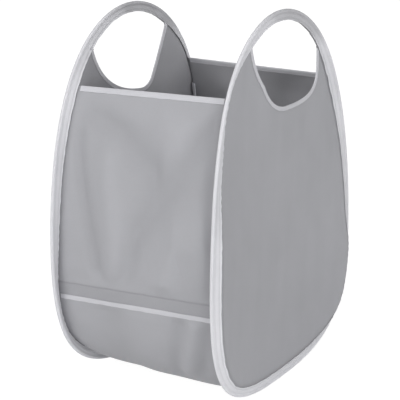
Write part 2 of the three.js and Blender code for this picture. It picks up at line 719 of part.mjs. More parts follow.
for (const [name, side] of [['left', -1], ['right', 1]]) {
  add(`${name}_hoop_wire`, hoopWire(side), steelLook);
  add(`${name}_wire_sleeve`, wireSleeve(side), steelLook);
  add(`${name}_hoop_binding`, hoopBinding(side), tapeLook);
  add(`${name}_side_panel`, sidePanel(side), clothLook);
  add(`${name}_handhole_binding`, handholeBinding(side), tapeLook);
}
add('front_panel', wallPanel(frontEdge, frontSeam, 0, seamGap / 2), clothLook);
add('base_panel', wallPanel(frontSeam, backSeam, seamGap / 2, seamGap / 2), clothLook);
add('back_panel', wallPanel(backSeam, backEdge, seamGap / 2, 0), clothLook);
add('front_edge_binding', wallStrip(frontEdge, edgeTapeSection(), 1), tapeLook);
add('back_edge_binding', wallStrip(backEdge, edgeTapeSection(), -1), tapeLook);
add('front_seam_tape', wallStrip(frontSeam, seamTapeSection(), 1), tapeLook);
add('back_seam_tape', wallStrip(backSeam, seamTapeSection(), -1), tapeLook);
add('front_seam_facing', seamFacing(frontSeam, 1), clothLook);
add('back_seam_facing', seamFacing(backSeam, -1), clothLook);
add('care_label', careLabel(), labelLook);

export default hamper;
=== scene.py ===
# Looks of the pop up laundry hamper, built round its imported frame.
# Shapes are worked out in millimetres and put into meshes in metres.
from math import atan2, cos, inf, pi, radians, sin, sqrt

import bpy
import numpy as np
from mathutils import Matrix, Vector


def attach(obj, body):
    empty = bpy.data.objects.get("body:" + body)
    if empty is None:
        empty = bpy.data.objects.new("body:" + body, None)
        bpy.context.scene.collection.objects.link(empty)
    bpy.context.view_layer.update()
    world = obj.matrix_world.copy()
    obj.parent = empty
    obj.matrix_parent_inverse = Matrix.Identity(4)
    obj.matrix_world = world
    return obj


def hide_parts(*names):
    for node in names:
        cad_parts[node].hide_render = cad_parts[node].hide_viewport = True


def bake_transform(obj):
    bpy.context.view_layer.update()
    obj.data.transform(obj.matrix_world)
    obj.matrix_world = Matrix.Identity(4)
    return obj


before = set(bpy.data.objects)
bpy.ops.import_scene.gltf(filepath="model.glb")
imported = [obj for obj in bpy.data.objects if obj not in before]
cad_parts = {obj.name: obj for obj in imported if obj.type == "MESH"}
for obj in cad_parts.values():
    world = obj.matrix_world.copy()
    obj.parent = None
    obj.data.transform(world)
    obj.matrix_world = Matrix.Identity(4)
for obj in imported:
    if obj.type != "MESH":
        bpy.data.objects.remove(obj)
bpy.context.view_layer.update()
scene = bpy.context.scene
milli = 0.001

hoop = {
    "height": 640, "depth": 480, "spacing": 307, "bow": 4, "footCut": 0.5,
    "topRound": 1, "footRound": 0.73, "egg": 0.155, "belly": -0.187,
    "tapeWidth": 18, "turnBlur": 0.012, "stations": 64, "aimStep": 0.5,
    "tableSteps": 16384, "seamSteps": 3100, "seamEnd": 31,
}
# How the tape turns on its way up each side of a hoop: shares of its height, each with the
# degrees that it turns outwards there. The near side is the front of the right hoop and the
# back of the left one.
nearTurns = [(0, 0), (0.06, -28), (0.15, -46), (0.38, -48), (0.47, -32), (0.53, -15), (0.6, 4),
             (0.7, 14), (0.77, 26), (0.86, 29), (0.92, 17), (0.96, 5), (1, 0)]
farTurns = {
    1: [(0, 0), (0.05, -28), (0.12, -44), (0.29, -36), (0.38, -10), (0.5, 3), (0.6, 13), (0.68, 25),
        (0.76, 38), (0.84, 34), (0.92, 18), (1, 0)],
    -1: [(0, 0), (0.05, -22), (0.12, -35), (0.2, -31), (0.3, -22), (0.4, -2), (0.5, 9), (0.6, 16),
         (0.68, 25), (0.76, 38), (0.84, 34), (0.92, 18), (1, 0)],
}


def mix(a, b, t):  # a at 0, b at 1, and a straight line between them
    return a + (b - a) * t


# From 0 at low to 1 at high: three times the square of the share of the way, less twice its cube
def smooth(t, low=0.0, high=1.0):
    s = np.clip((t - low) / (high - low), 0, 1)
    return s * s * (3 - 2 * s)


def bell(t, width):  # the exponential of minus the square of t over the width
    return np.exp(-(t / width) ** 2)


def unit(v):  # each vector over its length
    return v / np.linalg.norm(v, axis=-1, keepdims=True)


def runAlong(path):  # the way run at each point: a running sum of the steps' lengths
    return np.concatenate([[0], np.cumsum(np.linalg.norm(np.diff(path, axis=0), axis=1))])


# Values that are kept along a run, read on straight lines between them
def readAlong(where, run, values):
    return np.stack([np.interp(where, run, column) for column in values.T], -1)


# Faces of a grid of points: i and j are their first corners' rows and columns, ni and nj the
# next ones, and wide is how many points a row has
def gridFaces(i, j, ni, nj, wide):
    return np.stack([i * wide + j, i * wide + nj, ni * wide + nj, ni * wide + j], -1).reshape(-1, 4)


# Outer edge of the tape: an ellipse's angle whose sine is raised to a power that changes from
# top to foot, times an exponential of its cosine that draws it out to an egg
def hoopReach(angle):
    c, s = np.cos(angle), np.abs(np.sin(angle))
    power = mix(hoop["footRound"], hoop["topRound"], (1 + c) / 2)
    return s ** power * np.exp(hoop["belly"] * s * s - hoop["egg"] * c)


hoopWidest = hoopReach(np.radians(np.arange(361.0))).max()


# The edge's place: its reach across, the angle's cosine up, and a bow to the side by the cosine
# of twice the angle
def hoopEdge(angle):
    c = np.cos(angle)
    y = -np.sign(np.sin(angle)) * hoopReach(angle) * hoop["depth"] / 2 / hoopWidest
    z = (1 + c) / 2 * (hoop["height"] + hoop["footCut"]) - hoop["footCut"]
    x = hoop["spacing"] / 2 - hoop["bow"] * np.cos(2 * angle)
    return np.stack([x, y, z], -1)


# Stations count evenly along the edge, from the top down the front and up the back
tableAngle = np.linspace(0, 2 * pi, hoop["tableSteps"] + 1)
tableRun = runAlong(hoopEdge(tableAngle))
tableStation = tableRun / tableRun[-1] * hoop["stations"]
pitch = tableRun[-1] / hoop["stations"]


def edgeAt(k):  # by the angle that the table has at the station
    return hoopEdge(np.interp(np.mod(k, hoop["stations"]), tableStation, tableAngle))


def onFront(k):  # the first half of the stations
    return k < hoop["stations"] / 2


# Reads a table on straight lines, with its corners softened by the mean of four nearby places
def turnAt(table, high):
    places, values = np.array(table, float).T
    near = (high + shift * hoop["turnBlur"] for shift in (-1.5, -0.5, 0.5, 1.5))
    return sum(np.interp(place, places, values) for place in near) / 4


# Where a hoop's tape points at a station: its edge, the way out of the hoop, along its section
# (flange) and out of its outer face
def hoopFrame(k, side=1):
    edge = edgeAt(k)
    run = edgeAt(k + hoop["aimStep"]) - edgeAt(k - hoop["aimStep"])
    run[..., 0] = 0
    run = unit(run)
    outward = np.stack([np.zeros_like(run[..., 0]), run[..., 2], -run[..., 1]], -1)
    high = np.clip(edge[..., 2] / hoop["height"], 0, 1)
    front = onFront(np.mod(k, hoop["stations"]))
    turn = np.radians(np.where(front, turnAt(nearTurns, high), turnAt(farTurns[side], high)))[..., None]
    across = np.array([1.0, 0, 0])
    flange = outward * np.cos(turn) + across * np.sin(turn)
    face = across * np.cos(turn) - outward * np.sin(turn)
    return edge, outward, flange, face


def outwardAt(k):  # the way out of the hoop
    return hoopFrame(k)[1]


# A point of either hoop's tape before the left hoop is turned half round
def ownPoint(k, deep, out, side):
    k, deep, out = np.broadcast_arrays(np.asarray(k, float), deep, out)
    edge, outward, flange, face = hoopFrame(k, side)
    return edge - deep[..., None] * flange + out[..., None] * face


def turned(side):  # half a turn changes the signs of the first two coordinates
    return np.array([side, side, 1.0])


# A point of either hoop's tape where it stands. Stations run down the front on both hoops.
def tapePoint(k, deep, out, side=1):
    own = k if side > 0 else hoop["stations"] - np.asarray(k, float)
    return ownPoint(own, deep, out, side) * turned(side)


seamTable = np.linspace(0, hoop["seamEnd"], hoop["seamSteps"] + 1)
seamHeights = {side: tapePoint(seamTable, hoop["tapeWidth"], 0, side)[:, 2] for side in (1, -1)}


# The station down the front where a hoop's seam passes a height. The front of the left hoop is
# like the back of the right one.
def stationAt(height, side=1):
    return np.interp(-np.asarray(height, float), -seamHeights[side], seamTable)


# A closed surface from rows of closed outlines. Each outline runs out along one face and back
# along the other, so that a row's first and last halves face each other and close the ends.
def surface(name, points, ring=False):
    rows, columns = points.shape[:2]
    wide = columns + 1
    i, j = np.meshgrid(np.arange(rows if ring else rows - 1), np.arange(columns), indexing="ij")
    quads = gridFaces(i, j, (i + 1) % rows, (j + 1) % columns, columns)
    corners = gridFaces(i, j, i + 1, j + 1, wide)
    if not ring:
        a = np.arange(columns // 2 - 1)
        b = columns - 1 - a
        first = np.stack([a + 1, a, b, b - 1], -1)
        last = first[:, ::-1]
        quads = np.concatenate([quads, first, last + (rows - 1) * columns])
        corners = np.concatenate([corners, first, last + (rows - 1) * wide])
    # flat coordinates in metres: lengths measured along the rows and round the outline
    wrapped = np.concatenate([points, points[:1]]) if ring else points
    wrapped = np.concatenate([wrapped, wrapped[:, :1]], 1)
    down = np.cumsum(np.linalg.norm(np.diff(wrapped, axis=0, prepend=wrapped[:1]), axis=-1), 0)
    along = np.cumsum(np.linalg.norm(np.diff(wrapped, axis=1, prepend=wrapped[:, :1]), axis=-1), 1)
    flat = np.stack([along, down], -1).reshape(-1, 2) * milli
    return meshFrom(name, points.reshape(-1, 3), quads, flat[corners])


def addToScene(name, data):
    made = bpy.data.objects.new(name, data)
    scene.collection.objects.link(made)
    return made


# A piece from its points and faces, turned inside out where its volume comes out negative
def meshFrom(name, points, faces, flat=None, sharp=35):
    points = points * milli
    p = points[faces]
    n = faces.shape[1]
    volume = sum(np.einsum("ij,ij->", p[:, 0], np.cross(p[:, m], p[:, m + 1])) for m in range(1, n - 1))
    if volume < 0:
        faces = faces[:, ::-1]
        flat = None if flat is None else flat[:, ::-1]
    mesh = bpy.data.meshes.new(name)
    mesh.vertices.add(len(points))
    mesh.vertices.foreach_set("co", points.astype(np.float32).ravel())
    mesh.loops.add(faces.size)
    mesh.loops.foreach_set("vertex_index", faces.astype(np.int32).ravel())
    mesh.polygons.add(len(faces))
    mesh.polygons.foreach_set("loop_start", np.arange(0, faces.size, n, dtype=np.int32))
    if flat is not None:
        mesh.uv_layers.new(name="flat").data.foreach_set("uv", flat.astype(np.float32).ravel())
    mesh.update(calc_edges=True)
    mesh.shade_smooth()
    mesh.set_sharp_from_angle(angle=radians(sharp))
    return addToScene(name, mesh)


# Painted shade: how much darker than its material a piece is at each of its points, as a share,
# and painted light where it is below zero
def setPaintedShade(piece, values):
    attribute = piece.data.attributes.new("paintedShade", "FLOAT", "POINT")
    attribute.data.foreach_set("value", values.astype(np.float32).ravel())


def bothFaces(values):  # values of one face, and the same ones back along the other
    return np.concatenate([values, values[:, ::-1]], 1)


# Cloth round a grid: half its thickness along the grid's normals to each side
def clothShell(name, grid, thickness):
    normals = unit(np.cross(np.gradient(grid, axis=1), np.gradient(grid, axis=0)))
    face, back = grid + normals * thickness / 2, grid - normals * thickness / 2
    return surface(name, np.concatenate([face, back[:, ::-1]], 1))


# Soft ripples: a sum of sines in mixed directions, longer ones stronger, from the shortest
# length to the longest, and always the same for one seed
def ripples(u, v, size, seed, waves, shortest, longest):
    random = np.random.default_rng(seed)
    turn = random.uniform(0, pi, waves)
    length = shortest * (longest / shortest) ** random.uniform(0, 1, waves)
    shift = random.uniform(0, 2 * pi, waves)
    total = sum(np.sin((u * cos(t) + v * sin(t)) * 2 * pi / l + s) * sqrt(l / longest)
                for t, l, s in zip(turn, length, shift))
    return size * total / sqrt(waves)


# Puckers that a seam draws into cloth: five sines along the seam, each 0.7 to 1.9 times as long
# as the length, that die away from it
def puckers(along, away, size, seed, length, reach=1):
    random = np.random.default_rng(seed)
    total = sum(np.sin(along * 2 * pi / (length * r) + s)
                for r, s in zip(random.uniform(0.7, 1.9, 5), random.uniform(0, 6.3, 5)))
    return size * total / sqrt(5) * np.exp(-np.abs(away) / reach)


thread = {"length": 3, "gap": 1.2, "radius": 0.26, "rings": 5, "sides": 6, "arch": 0.3, "blunt": 0.96}


# A row of stitches along a path: each is a small capsule whose ends dip into the cloth
def stitchRow(name, paths, radius=thread["radius"]):
    length, rings, sides = thread["length"], thread["rings"], thread["sides"]
    s = np.linspace(-thread["blunt"], thread["blunt"], rings)[:, None]
    turn = np.arange(sides)[None] * 2 * pi / sides
    taper = np.sqrt(1 - s * s)
    local = np.stack([np.broadcast_to(s * length / 2, (rings, sides)), radius * taper * np.cos(turn),
                      radius * taper * np.sin(turn) + thread["arch"] * (0.5 - s * s)], -1)
    clouds = []
    for path, out in paths:
        run = runAlong(path)
        count = int(run[-1] // (length + thread["gap"]))
        centres = (np.arange(count) + 0.5) * run[-1] / count
        start, here, end = (readAlong(centres + shift, run, path) for shift in (-length / 2, 0, length / 2))
        along = unit(end - start)
        up = readAlong(centres, run, out)
        up = unit(up - along * (up * along).sum(-1, keepdims=True))
        axes = np.stack([along, np.cross(up, along), up], 1)
        clouds.append(here[:, None, None] + np.einsum("rsc,ncd->nrsd", local, axes))
    cloud = np.concatenate(clouds)
    i, j = np.meshgrid(np.arange(rings - 1), np.arange(sides), indexing="ij")
    caps = np.array([[3, 2, 1, 0], [5, 4, 3, 0]])
    caps = [caps, caps[:, ::-1] + (rings - 1) * sides]
    faces = np.concatenate([gridFaces(i, j, i + 1, (j + 1) % sides, sides), *caps])[None]
    faces = faces + np.arange(len(cloud))[:, None, None] * rings * sides
    return meshFrom(name, cloud.reshape(-1, 3), faces.reshape(-1, 4), sharp=60)


# The right hoop is 1 and the left one -1. Its painted shade darkens the grooves, and the tape's
# top upwards from topFrom, which is one height on the front of the hamper and another on its
# back, with topTurn between them; painted light lies on the rim and near the foot.
hoopTape = {
    "wall": 0.8, "channel": 2.4, "slot": 1.45, "closedSlot": 0.3, "rowsPerStation": 10,
    "arcPoints": 19, "legPoints": 19, "stitchInset": 3.3, "groove": 0.45, "grooveWidth": 1.1,
    "wireInset": 10.6, "wireGroove": 0.25, "rim": 0.3, "rimRun": (2.2, 1.32), "reliefEnd": (14, 10),
    "handleTaper": 30, "handleMargin": 18, "seeds": {1: 11, -1: 12}, "waveReach": 5,
    "pucker": {"size": 0.3, "length": 15, "reach": 7}, "edgeWave": {"size": 0.28, "length": 30},
    "paintedShade": {"groove": 0.12, "wire": 0.1, "rim": -0.05, "top": {1: 0.27, -1: 0.35},
              "topFrom": (612, 562), "topTurn": (-40, 20), "topRun": 34,
              "foot": {1: -0.13, -1: -0.03}, "footRun": (200, 60)},
}
handhole = {"near": 589, "steps": 220, "tuck": 5, "extra": 30, "fineSteps": 400, "fine": 0.25}
# A hand hole's edge starts at a height and an inset from the seam, runs down in a bow to a
# rounded corner and on along a curve, whose power is 2 for an ellipse and higher where squarer
holeShapes = {
    1: {"inset": 4, "bow": 5.4, "corner": 37, "round": 50, "floor": 479.5, "reach": 168,
        "far": 560, "power": 4.3},
    -1: {"inset": 5, "bow": 1, "corner": 44, "round": 24, "floor": 483, "reach": 172,
         "far": 620, "power": 2.35},
}


# How far from the middle the seam is at a height, on a hoop's near side or its far side
def seamReachAt(height, near):
    side = 1 if near else -1
    return -tapePoint(stationAt(height, side), hoop["tapeWidth"], 0, side)[..., 1]


nearReach = seamReachAt(handhole["near"], True)
beadRadius = hoopTape["channel"] + hoopTape["wall"]
hoopRows = hoop["stations"] * hoopTape["rowsPerStation"]


# Half the gap between the tape's legs: closed along the handle, open over the cloth
def slotAt(k):
    seam = tapePoint(k, hoop["tapeWidth"], 0)
    corner = nearReach - hoopTape["handleMargin"]
    opened = smooth(np.abs(seam[..., 1]), corner - hoopTape["handleTaper"], corner)
    slot = mix(hoopTape["closedSlot"], hoopTape["slot"], opened)
    return np.where(seam[..., 2] < handhole["near"], hoopTape["slot"], slot)


# The section is a bead round the wire's channel with two legs. deep runs from the outer edge
# to the seam, out runs from the middle to the outer face.
def tapeOutline(slot):
    wide = np.full_like(slot, hoop["tapeWidth"])

    def arc(radius):  # round the bead, between the places where it meets the legs
        start = np.arcsin(np.minimum(1, (slot + radius - hoopTape["channel"]) / radius))
        share = np.linspace(0, 1, hoopTape["arcPoints"])
        angle = mix(start[:, None], 2 * pi - start[:, None], share)
        return np.stack([beadRadius + radius * np.cos(angle), radius * np.sin(angle)], -1)

    def leg(out, start):  # a straight line from the seam to the bead
        share = np.linspace(0, 1, hoopTape["legPoints"])[None, :, None]
        return mix(np.stack([wide, out], -1)[:, None], start[:, None], share)

    outer, inner = slot + hoopTape["wall"], slot
    outerArc, innerArc = arc(beadRadius), arc(hoopTape["channel"])[:, ::-1]
    skin = [leg(outer, outerArc[:, 0])[:, :-1], outerArc, leg(-outer, outerArc[:, -1])[:, -2::-1]]
    lining = [leg(-inner, innerArc[:, 0])[:, :-1], innerArc, leg(inner, innerArc[:, -1])[:, -2::-1]]
    return np.concatenate(skin, 1), np.concatenate(lining, 1)


# Tape round a hoop: its section carried along the stations, with a groove for the stitches and
# one beside the wire as bells of the way from the seam, a raised rim, and puckers
def hoopBinding(side):
    k = np.arange(hoopRows) / hoopTape["rowsPerStation"]
    skin, lining = tapeOutline(slotAt(k))
    seed, reach = hoopTape["seeds"][side], hoopTape["waveReach"]
    away, along = hoop["tapeWidth"] - skin[..., 0], k[:, None] * pitch
    groove = bell(away - hoopTape["stitchInset"], hoopTape["grooveWidth"])
    wireGroove = bell(away - hoopTape["wireInset"], hoopTape["grooveWidth"])
    rim = smooth(away, *hoopTape["rimRun"])
    relief = puckers(along, away, seed=seed, **hoopTape["pucker"])
    relief = relief + hoopTape["rim"] * rim - hoopTape["groove"] * groove
    relief = relief * smooth(away, *hoopTape["reliefEnd"]) - hoopTape["wireGroove"] * wireGroove
    skin[..., 1] += np.sign(skin[..., 1]) * relief
    wave = puckers(along, 0, seed=seed + 5, **hoopTape["edgeWave"])
    skin[..., 0] += wave * smooth(away, reach, 0)
    lining[..., 0] += wave * smooth(hoop["tapeWidth"] - lining[..., 0], reach, 0)
    outline = np.concatenate([skin, lining], 1)
    points = ownPoint(k[:, None], outline[..., 0], outline[..., 1], side)
    points[..., 2] = np.maximum(points[..., 2], 0)
    y, z = np.moveaxis(points[:, :away.shape[1], 1:], -1, 0)
    # Painted shade in the stitch groove, in the groove beside the wire and on the handle's top; a painted
    # highlight on the raised rim and painted light near the foot
    tint = hoopTape["paintedShade"]
    low = mix(*tint["topFrom"], smooth(side * y, *tint["topTurn"]))
    paintedShade = tint["groove"] * groove + tint["wire"] * wireGroove + tint["rim"] * rim
    paintedShade = paintedShade + tint["top"][side] * smooth(z, low, low + tint["topRun"])
    paintedShade = paintedShade + tint["foot"][side] * smooth(z, *tint["footRun"])
    return points * turned(side), np.concatenate([paintedShade, np.zeros(lining.shape[:2])], 1)


# Paths of the stitches in the groove on both faces, each with the way out of its face
def hoopStitchPaths(side):
    k = np.linspace(0, hoop["stations"], hoopRows * 2 + 1)
    deep = hoop["tapeWidth"] - hoopTape["stitchInset"]
    height = slotAt(k) + hoopTape["wall"] - hoopTape["groove"]
    face = hoopFrame(k, side)[3] * turned(side)
    return [(ownPoint(k, deep, way * height, side) * turned(side), way * face) for way in (1, -1)]


sidePanel = {
    "reach": 3, "centreHeight": 290, "dish": 5, "offset": 0.65, "tuck": 6, "cloth": 0.5,
    "rows": 340, "columns": 92, "crowding": 1.25, "rimPlaces": 1024, "endPlaces": 3200, "lip": 0.3,
    "rimCalm": 40, "holeCalm": 30, "puckerStart": 6, "seeds": {1: 31, -1: 36},
    "ripple": {"size": 1.5, "waves": 11, "shortest": 60, "longest": 210},
    "pucker": {"size": 0.55, "length": 21, "reach": 12},
    "paintedShade": {"rim": 0.16, "rimReach": 2.5, "hole": 0.1, "holeReach": 2, "low": -0.03,
              "lowRun": (420, 200), "back": 0.05, "backRun": (-160, 200), "highRun": (250, 540),
              "streak": {"size": 0.012, "waves": 7, "shortest": 60, "longest": 240}},
}
holeTape = {
    "height": 7, "wall": 0.7, "gap": 0.15, "stitchInset": 1.7, "groove": 0.2, "grooveReach": 0.8,
    "faceTop": [-0.9], "soften": 0.2, "liningTop": -1, "pinch": 0.6,
    "wave": {"size": -0.16, "seed": 51, "length": 8},
}
rimReach = hoop["tapeWidth"] + sidePanel["reach"]


# The rim of a side's cloth, seen from the panel's middle
def rimTable(side):
    stations = np.linspace(0, hoop["stations"], sidePanel["rimPlaces"] + 1)
    points = ownPoint(stations, rimReach, sidePanel["offset"], side)
    away = points[:, 2] - sidePanel["centreHeight"]
    angle = np.unwrap(np.arctan2(away, -points[:, 1]))
    order = np.argsort(angle)
    return {"angle": angle[order], "radius": np.hypot(points[:, 1], away)[order], "x": points[order, 0],
            "middle": points[:-1, 0].mean() - sidePanel["dish"]}


rims = {side: rimTable(side) for side in (1, -1)}


# How far out the side panel lies: from its middle it rises to the rim with the square of the
# share of the way there
def panelDepth(y, z, side):
    rim = rims[side]
    angle = np.arctan2(z - sidePanel["centreHeight"], -y)
    low = rim["angle"][0]
    angle = low + np.mod(angle - low, 2 * pi)
    share = np.hypot(y, z - sidePanel["centreHeight"]) / np.interp(angle, rim["angle"], rim["radius"])
    return mix(rim["middle"], np.interp(angle, rim["angle"], rim["x"]), share * share)


# Places across and up, with the panel's depth there
def onPanel(places, side):
    return np.column_stack([panelDepth(places[:, 0], places[:, 1], side), places])


# A curve drawn by two pulls: from the first place towards the second and on to the third
def bend(first, second, third, t):
    return mix(mix(first, second, t), mix(second, third, t), t)


# The hand hole's lower edge as it would be on the right hoop, with both ends tucked under the
# tape. The curve's place at an angle is (sin, cos) over the power mean of the two.
def holeEdge(side, count):
    shape = holeShapes[side]
    near = np.array([shape["inset"] - nearReach, handhole["near"]])
    corner = np.array([-shape["corner"], shape["floor"]])
    rise = shape["far"] - shape["floor"]
    start = atan2(shape["round"], shape["reach"])
    angle = np.linspace(start, pi / 2, handhole["fineSteps"])[:, None]
    way = np.concatenate([np.sin(angle), np.cos(angle)], 1)
    way = way / (way ** shape["power"]).sum(1, keepdims=True) ** (1 / shape["power"])
    curve = corner + np.array([0, rise]) + way * [shape["reach"], -rise]
    before = corner + unit(near - corner) * shape["round"]
    down = unit(before - near)
    pull = (near + before) / 2 + np.array([down[1], -down[0]]) * 2 * shape["bow"]
    t = np.linspace(0, 1, handhole["fineSteps"])[:, None]
    more = np.array([0, handhole["extra"]])
    line = np.concatenate([[near + more], bend(near, pull, before, t), bend(before, corner, curve[0], t)[1:],
                           curve[1:], [curve[-1] + more]])
    run = runAlong(line)
    at = np.arange(0, run[-1], handhole["fine"])
    y, z = readAlong(at, run, line).T
    seam = np.where(y < corner[0], seamReachAt(z, True), seamReachAt(z, False))
    kept = at[np.abs(y) < seam + handhole["tuck"]]
    return readAlong(np.linspace(kept[0], kept[-1], count), run, line)


# Grid of a side panel: straight lines from the rim, tucked into the tape, to the hand hole's
# edge, at the depth above, with ripples, puckers along the rim, and the painted shade of each place
def sidePanelGrid(side):
    hole = holeEdge(side, sidePanel["rows"])
    half = sidePanel["endPlaces"]
    stations = np.linspace(0, hoop["stations"], 2 * half + 1)
    places = ownPoint(stations, rimReach, 0, side)[:, 1:]
    start = stations[np.argmin(np.linalg.norm(places[:half] - hole[0], axis=1))]
    stop = stations[half + np.argmin(np.linalg.norm(places[half:] - hole[-1], axis=1))]
    k = np.linspace(start, stop, sidePanel["rows"])
    rim = ownPoint(k, rimReach, sidePanel["offset"], side)
    v = np.linspace(0, 1, sidePanel["columns"]) ** sidePanel["crowding"]
    y = mix(rim[:, None, 1], hole[:, None, 0], v)
    z = mix(rim[:, None, 2], hole[:, None, 1], v)
    away = v * np.hypot(hole[:, 0] - rim[:, 1], hole[:, 1] - rim[:, 2])[:, None]
    toHole = away[:, -1:] - away - holeTape["height"]
    seed = sidePanel["seeds"][side]
    calm = smooth(away, 0, sidePanel["rimCalm"]) * smooth(toHole, 0, sidePanel["holeCalm"])
    drawn = puckers((k * pitch)[:, None], away, seed=seed + 1, **sidePanel["pucker"])
    x = panelDepth(y, z, side) + ripples(y, z, seed=seed, **sidePanel["ripple"]) * calm
    x = x + drawn * smooth(away, 0, sidePanel["puckerStart"])
    tucks = [ownPoint(k, hoop["tapeWidth"] + past, sidePanel["offset"], side)
             for past in (-sidePanel["tuck"], sidePanel["lip"])]
    grid = np.concatenate([np.stack(tucks, 1), np.stack([x, y, z], -1)], 1)
    # Painted shadow along the hoop's tape and the hand hole's tape, painted light low down, painted shade
    # towards the back near the top, and soft upright streaks
    tint = sidePanel["paintedShade"]
    paintedShade = tint["rim"] * np.exp(-away / tint["rimReach"])
    paintedShade = paintedShade + tint["hole"] * np.exp(-np.abs(toHole) / tint["holeReach"])
    paintedShade = paintedShade + tint["low"] * smooth(z, *tint["lowRun"])
    paintedShade = paintedShade + tint["back"] * smooth(y, *tint["backRun"]) * smooth(z, *tint["highRun"])
    paintedShade = paintedShade + ripples(4 * y, z, seed=seed + 3, **tint["streak"])
    return grid * turned(side), bothFaces(np.pad(paintedShade, ((0, 0), (2, 0)), mode="edge"))


# The other half of a section that is the same on both faces, in the order that goes on from it
def mirrored(half):
    return [(place, -out) for place, out in half[::-1]]


foldAngles = np.radians([70, 45, 22, 0, -22, -45, -70])
waveBelow = -3.0


# A section carried along places: its first numbers run up and its second ones out. What lies
# low in it waves, as puckers along the places.
def carried(section, wave, along, here, up, out):
    section = np.array(section)
    rise, reach = section[:, :1], section[:, 1:]
    rise = rise + puckers(along, 0, **wave)[:, None, None] * (rise < waveBelow)
    return here[:, None] + up[:, None] * rise + out[:, None] * reach


# Tape folded over an edge of cloth: along one face with a groove for the stitches, round the
# fold, which is half an ellipse, along the other face and back inside. The edge is at 0.
def foldedTape(shape, cloth, along, here, up, out):
    inner = cloth / 2 + shape["gap"]
    outer, top = inner + shape["wall"], shape["gap"] + shape["wall"]
    foot, reach = top - shape["height"], shape["grooveReach"]
    groove, bottom = foot + shape["stitchInset"], outer - shape["groove"]
    fold = [(top - (top + shape["soften"]) * (1 - cos(a)), outer * sin(a)) for a in foldAngles]
    half = [(foot, outer), (groove - reach, outer), (groove, bottom)]
    half = half + [(place, outer) for place in (groove + reach, *shape["faceTop"])]
    lining = [(place, -inner) for place in (foot, groove, shape["liningTop"])]
    lining = lining + [(shape["gap"], -inner * shape["pinch"])]
    section = half + fold + mirrored(half) + lining + mirrored(lining)
    paths = [(here + up * groove + way * out * bottom, way * out) for way in (1, -1)]
    return carried(section, shape["wave"], along, here, up, out), paths


# Tape folded over the hand hole's edge, running up into the hoop's tape at both ends
def handholeBinding(side):
    edge = holeEdge(side, handhole["steps"])
    run = unit(np.gradient(edge, axis=0))
    away = np.stack([run[:, 1], -run[:, 0]], -1)
    here = onPanel(edge, side)
    into = unit(onPanel(edge + away * holeTape["height"], side) - here)
    out = unit(np.array([1.0, 0, 0]) - into * into[:, :1])
    aims = (part * turned(side) for part in (here, -into, out))
    return foldedTape(holeTape, sidePanel["cloth"], np.arange(len(edge)), *aims)


wall = {
    "foldOut": 1.9, "foldDrop": 1, "foldRun": 2, "foldSteps": 6, "offset": 0.65, "tuck": 6, "lip": 0.3,
    "frontEdge": 518, "frontRise": 3, "backEdge": 515, "backRise": -11,
    "seam": 171, "frontSeamRise": 20, "seamGap": 0.4, "halfWidth": 150,
    "sag": 12, "sagPower": 8, "cloth": 0.5, "columns": 148, "rowLength": 2.4, "crowding": 0.9,
    "foldDepth": 7, "foldFade": 0.16, "baseScale": 0.12, "bulge": 2.2,
    "bulgePower": 6, "hoopEase": 8, "edgeEase": (2, 30), "seamEase": (3, 9), "calmest": 0.35,
    "ripple": {"size": 0.55, "seed": 71, "waves": 13, "shortest": 38, "longest": 150},
    "pucker": {"size": 0.5, "seed": 74, "length": 17, "reach": 9},
    "seamPucker": {"size": 0.55, "seed": 77, "length": 24, "reach": 14},
    "crease": 27, "creaseDepth": 1.1, "creaseWidth": 1.8,
    "paintedShade": {"doubled": 0.11, "doubledEdge": 1.5, "crease": 0.2, "creaseWidth": 1.3, "hoop": 0.12,
              "hoopReach": 4, "valley": 0.07, "end": 0.17, "endWidth": (0.14, 0.09)},
}
# Folds: each has its depth, its width, and places that it runs through, as shares of the half
# width and of the wall's height
frontFolds = [
    (-1.3, 0.1, [(-0.8, 0.93), (0.19, 0.66)]),
    (-1.15, 0.1, [(0.89, 0.88), (0.53, 0.67), (-0.02, 0.37), (-0.2, 0.1)]),
    (-1.0, 0.08, [(-0.85, 0.72), (-0.46, 0.1)]),
    (0.9, 0.13, [(-0.42, 0.62), (-0.24, 0.16)]),
    (0.9, 0.1, [(0.25, 0.05), (0.48, 0.33), (0.8, 0.38)]),
    (0.7, 0.14, [(0.3, 0.92), (0.5, 0.82)]),
    (-1.0, 0.1, [(0.94, 0.95), (0.94, 0.05)]),
]
backFolds = [
    (-0.8, 0.18, [(-0.5, 0.9), (-0.3, 0.3)]),
    (0.9, 0.2, [(0.4, 0.95), (0.55, 0.2)]),
    (0.5, 0.12, [(-0.1, 0.7), (0.2, 0.2)]),
]
# The bottom's folds: across, and down in stations below the front seam
baseFolds = [
    (-0.7, 0.09, [(0.5, 0.7), (0.36, 4.5)]),
    (0.6, 0.08, [(0.68, 0.5), (0.52, 4.2)]),
    (-0.6, 0.09, [(0.88, 0.4), (0.72, 4.0)]),
    (-0.4, 0.2, [(-0.35, 0.5), (-0.3, 3.5)]),
    (0.4, 0.2, [(0.05, 0.8), (0.0, 5.0)]),
]


# Height of the folds: each is a ridge or valley that dies away to both sides of its line
def foldHeight(folds, across, up, upScale=1.0):
    total = np.zeros_like(across * up)
    for depth, width, path in folds:
        away = np.full_like(total, inf)
        for (ax, ay), (toX, toY) in zip(path, path[1:]):
            bx, by = toX - ax, toY - ay
            share = np.clip(((across - ax) * bx + (up - ay) * by) / (bx * bx + by * by), 0, 1)
            away = np.minimum(away, np.hypot(across - ax - share * bx, (up - ay - share * by) * upScale))
        total = total + depth * bell(away, width)
    return wall["foldDepth"] * total


# A line across the walls, as the station at each share across. Its height rises to the right.
def wallLine(height, rise, atBack=False):
    def line(across):
        k = stationAt(height + across * rise / 2)
        return hoop["stations"] - k if atBack else k
    return line


frontEdge = wallLine(wall["frontEdge"], wall["frontRise"])
frontSeam = wallLine(wall["seam"], wall["frontSeamRise"])
backEdge = wallLine(wall["backEdge"], wall["backRise"], atBack=True)
backSeam = wallLine(wall["seam"], 0.0, atBack=True)


